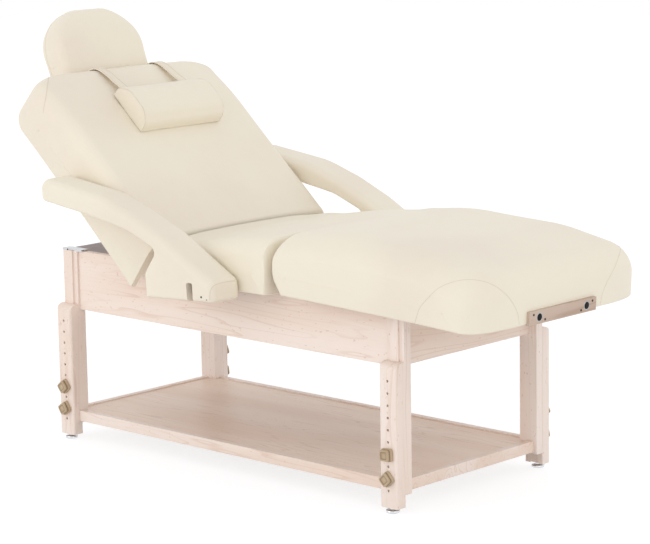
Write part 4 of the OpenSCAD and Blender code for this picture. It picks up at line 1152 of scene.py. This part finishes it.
# ---- Screws, set out by Geometry Nodes ----
def screw_head():
    """Raised countersunk head of radius 1 with a cross recess, looking along +Z."""
    work = bmesh.new()
    rings = []
    for r, h in ((1.0, -0.15), (1.0, 0.12), (0.86, 0.3), (0.6, 0.42), (0.3, 0.47), (0.12, 0.3)):
        ring = []
        for k in range(16):
            a = 2 * math.pi * k / 16
            cross = 0.42 if k % 4 == 0 and r in (0.6, 0.3) else 0
            ring.append(work.verts.new((r * math.cos(a), r * math.sin(a), h - cross)))
        rings.append(ring)
    for a, b in zip(rings, rings[1:]):
        for i in range(16):
            work.faces.new((a[i], a[(i + 1) % 16], b[(i + 1) % 16], b[i]))
    work.faces.new(rings[0][::-1])
    work.faces.new(rings[-1])
    bmesh.ops.recalc_face_normals(work, faces=work.faces)
    mesh = bpy.data.meshes.new("screw head")
    work.to_mesh(mesh)
    work.free()
    return bpy.data.objects.new("screw_head_pattern", mesh)


def scatter_tree():
    """Puts the pattern on every point, facing along the point's normal."""
    tree = bpy.data.node_groups.new("set out on points", "GeometryNodeTree")
    sockets = {}
    for label, kind, way in (("Geometry", "NodeSocketGeometry", "INPUT"),
                             ("Pattern", "NodeSocketObject", "INPUT"),
                             ("Size", "NodeSocketFloat", "INPUT"),
                             ("Turn", "NodeSocketFloat", "INPUT"),
                             ("Seed", "NodeSocketInt", "INPUT"),
                             ("Finish", "NodeSocketMaterial", "INPUT"),
                             ("Geometry", "NodeSocketGeometry", "OUTPUT")):
        socket = tree.interface.new_socket(label, in_out=way, socket_type=kind)
        if way == "INPUT":
            sockets[label] = socket.identifier
    g = Sheet(tree)
    entry = g.add("NodeGroupInput", out=None).outputs
    leave = g.add("NodeGroupOutput", out=None).inputs
    source = g.add("GeometryNodeObjectInfo", out="Geometry", wires={"Object": entry["Pattern"]})
    facing = g.add("GeometryNodeInputNamedAttribute", out="Attribute",
                   data_type="FLOAT_VECTOR", wires={"Name": "facing"})
    aligned = g.add("FunctionNodeAlignRotationToVector", out="Rotation", axis="Z",
                    wires={"Vector": facing})
    chance = g.add("FunctionNodeRandomValue", out=1, data_type="FLOAT",
                   wires={3: entry["Turn"], "Seed": entry["Seed"]})
    spun = g.add("FunctionNodeAxisAngleToRotation", out="Rotation",
                 wires={"Axis": (0, 0, 1), "Angle": chance})
    both = g.add("FunctionNodeRotateRotation", out="Rotation", rotation_space="LOCAL",
                 wires={"Rotation": aligned, "Rotate By": spun})
    spread = g.add("GeometryNodeInstanceOnPoints", out="Instances", wires={
        "Points": entry["Geometry"], "Instance": source, "Rotation": both,
        "Scale": entry["Size"]})
    real = g.add("GeometryNodeRealizeInstances", out="Geometry", wires={"Geometry": spread})
    paint = g.add("GeometryNodeSetMaterial", out="Geometry",
                  wires={"Geometry": real, "Material": entry["Finish"]})
    tree.links.new(paint, leave["Geometry"])
    return tree, sockets


SCREW_HEAD = screw_head()
SCATTER, SCATTER_INPUT = scatter_tree()


def set_out(name, spots, pattern, size, finish, seed=4, turn=1.5):
    """Plain mesh of the pattern at each (point, facing), in row-frame metres."""
    mesh = bpy.data.meshes.new(name)
    mesh.from_pydata([p for p, _ in spots], [], [])
    facing = mesh.attributes.new("facing", "FLOAT_VECTOR", "POINT")
    facing.data.foreach_set("vector", [c for _, n in spots for c in n])
    piece = placed(name, mesh)
    rule = piece.modifiers.new("set out", "NODES")
    rule.node_group = SCATTER
    for label, value in (("Pattern", pattern), ("Size", size * MM), ("Turn", turn),
                         ("Seed", seed), ("Finish", MATERIALS[finish])):
        rule[SCATTER_INPUT[label]] = value
    settle(piece)
    outward(piece.data, 45)
    return piece


def on_surface(where, point, facing):
    return where @ Vector(point) * MM, (where.to_3x3() @ Vector(facing)).normalized()


def screws():
    base, leg = MIDDLE, ON_LEG
    caps = [on_surface(base, (sx * (POST_X + 10), sy * (POST_Y + POST_OUT + 0.9),
                              BASE_TOP + 1.5), (0, sy, 0))
            for sx in (-1, 1) for sy in (-1, 1)]
    piece = set_out("corner_cap_screws", caps, SCREW_HEAD, 2.4, "screw")
    dress(piece, "base", "cap_screws", slot="screw_steel")
    plate = [on_surface(leg, (FOOT_END + OUTLET_THICK + 0.1, y * OUTLET_W,
                              OUTLET_Z + v * OUTLET_H), (1, 0, 0))
             for y, v in ((-0.44, 0.26), (-0.27, -0.26), (0.27, -0.26), (0.44, 0.26))]
    piece = set_out("outlet_plate_screws", plate, SCREW_HEAD, 3.4, "screw", seed=9)
    dress(piece, "leg_section", "outlet_screws", slot="screw_steel")
    for side, way in (("near", -1), ("far", 1)):
        out_y = way * (ARM_IN + ARM_W)
        spots = [on_surface(ON_SEAT, (114, out_y + way * 0.2, 562), (0, way, 0)),
                 on_surface(ON_SEAT, (134, out_y - way * 2, 554), (0, way, -0.6))]
        under = on_surface(ON_SEAT, (-520, way * (ARM_IN + 96), 807), (0.25, 0, -1))
        piece = set_out(f"arm_pad_{side}_fixings", spots + [under], SCREW_HEAD, 3.0, "screw",
                        seed=12 + way)
        dress(piece, f"arm_rest_{side}", slot="screw_steel")


screws()

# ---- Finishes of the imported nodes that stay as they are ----
PLAIN = {"plywood": "plywood", "frame_wood": "frame_wood", "maple": "maple_long",
         "shelf_veneer": "shelf", "grey_board": "board", "cap_steel": "cap",
         "screw_steel": "screw", "chrome": "chrome", "knob_plastic": "knob",
         "black_steel": "black", "bright_steel": "bright", "nylon": "nylon",
         "webbing": "band", "vinyl": "vinyl"}
for entry in frame["record"]["subparts"]:
    node = frame["nodes"][entry["node"]]
    finish = MATERIALS[PLAIN[entry["material_slot"]]]
    node.data.materials.clear()
    node.data.materials.append(finish)


# ---- Studio ----
def studio_floor():
    mesh = bpy.data.meshes.new("studio_floor")
    mesh.from_pydata([(-14, -14, 0), (14, -14, 0), (14, 14, 0), (-14, 14, 0)], [], [(0, 1, 2, 3)])
    floor = placed("studio_floor", mesh)
    material = bpy.data.materials.new("white studio floor")
    material.use_nodes = True
    s = Sheet(material.node_tree)
    material.node_tree.nodes.remove(material.node_tree.nodes["Principled BSDF"])
    matt = s.add("ShaderNodeBsdfDiffuse", wires={"Color": (0.90, 0.90, 0.90, 1)})
    seen = s.add("ShaderNodeBsdfDiffuse", wires={"Color": (0.30, 0.30, 0.31, 1)})
    glow = s.add("ShaderNodeEmission", wires={"Color": (1, 1, 1, 1), "Strength": 0.80})
    bright = s.add("ShaderNodeAddShader", wires={0: seen, 1: glow})
    path = s.add("ShaderNodeLightPath", out=None).outputs
    watched = s.calc("MAXIMUM", path["Is Camera Ray"], path["Is Glossy Ray"])
    mix = s.add("ShaderNodeMixShader", wires={0: watched, 1: matt, 2: bright})
    s.tree.links.new(mix, material.node_tree.nodes["Material Output"].inputs["Surface"])
    mesh.materials.append(material)


SKY_RIM, SKY_TOP = 1.10, 0.82


def studio_sky():
    world = bpy.context.scene.world or bpy.data.worlds.new("studio")
    bpy.context.scene.world = world
    world.use_nodes = True
    tree = world.node_tree
    tree.nodes.clear()
    s = Sheet(tree)
    path = s.add("ShaderNodeLightPath", out=None).outputs
    seen = s.calc("MAXIMUM", path["Is Camera Ray"], path["Is Glossy Ray"])
    seen = s.calc("MAXIMUM", seen, path["Is Transmission Ray"])
    way = s.add("ShaderNodeSeparateXYZ", out=2, wires={
        0: s.add("ShaderNodeTexCoord", out=3)})
    level = s.ramp(way, 0.0, 1.0, SKY_RIM, SKY_TOP)
    strength = s.calc("MULTIPLY_ADD", seen, s.calc("SUBTRACT", 1.0, level), level)
    back = s.add("ShaderNodeBackground", wires={"Color": (1, 1, 1, 1), "Strength": strength})
    out = s.add("ShaderNodeOutputWorld", out=None)
    tree.links.new(back, out.inputs["Surface"])


def soft_lamp(name, at, aim, size, power, colour=(1, 1, 1)):
    lamp = bpy.data.lights.new(name, "AREA")
    lamp.shape, lamp.size, lamp.energy, lamp.color = "SQUARE", size, power, colour
    holder = placed(name, lamp)
    holder.location = at
    holder.rotation_euler = (Vector(aim) - Vector(at)).to_track_quat("-Z", "Y").to_euler()


def camera():
    az, el, roll = (math.radians(a) for a in (43.26, 10.3, -0.94))
    back = Vector((math.sin(az) * math.cos(el), -math.cos(az) * math.cos(el), math.sin(el)))
    right = Vector((math.cos(az), math.sin(az), 0))
    up = back.cross(right)
    across = math.cos(roll) * right + math.sin(roll) * up
    over = -math.sin(roll) * right + math.cos(roll) * up
    data = bpy.data.cameras.new("camera")
    data.lens, data.sensor_width, data.clip_end = 140.06, 36, 100
    eye = placed("camera", data)
    turn = Matrix((across, over, back)).transposed().to_4x4()
    eye.matrix_world = Matrix.Translation((5.2365, -5.458, 1.940)) @ turn
    bpy.context.scene.camera = eye


studio_floor()
studio_sky()
soft_lamp("key", (-1.6, -5.4, 1.5), (0, 0, 0.45), 4.0, 36, (1.0, 0.99, 0.98))
soft_lamp("fill", (5.2, -1.4, 0.7), (0.2, 0, 0.3), 3.0, 15, (1.0, 0.99, 0.98))
camera()
bpy.context.scene.view_settings.view_transform = "Standard"
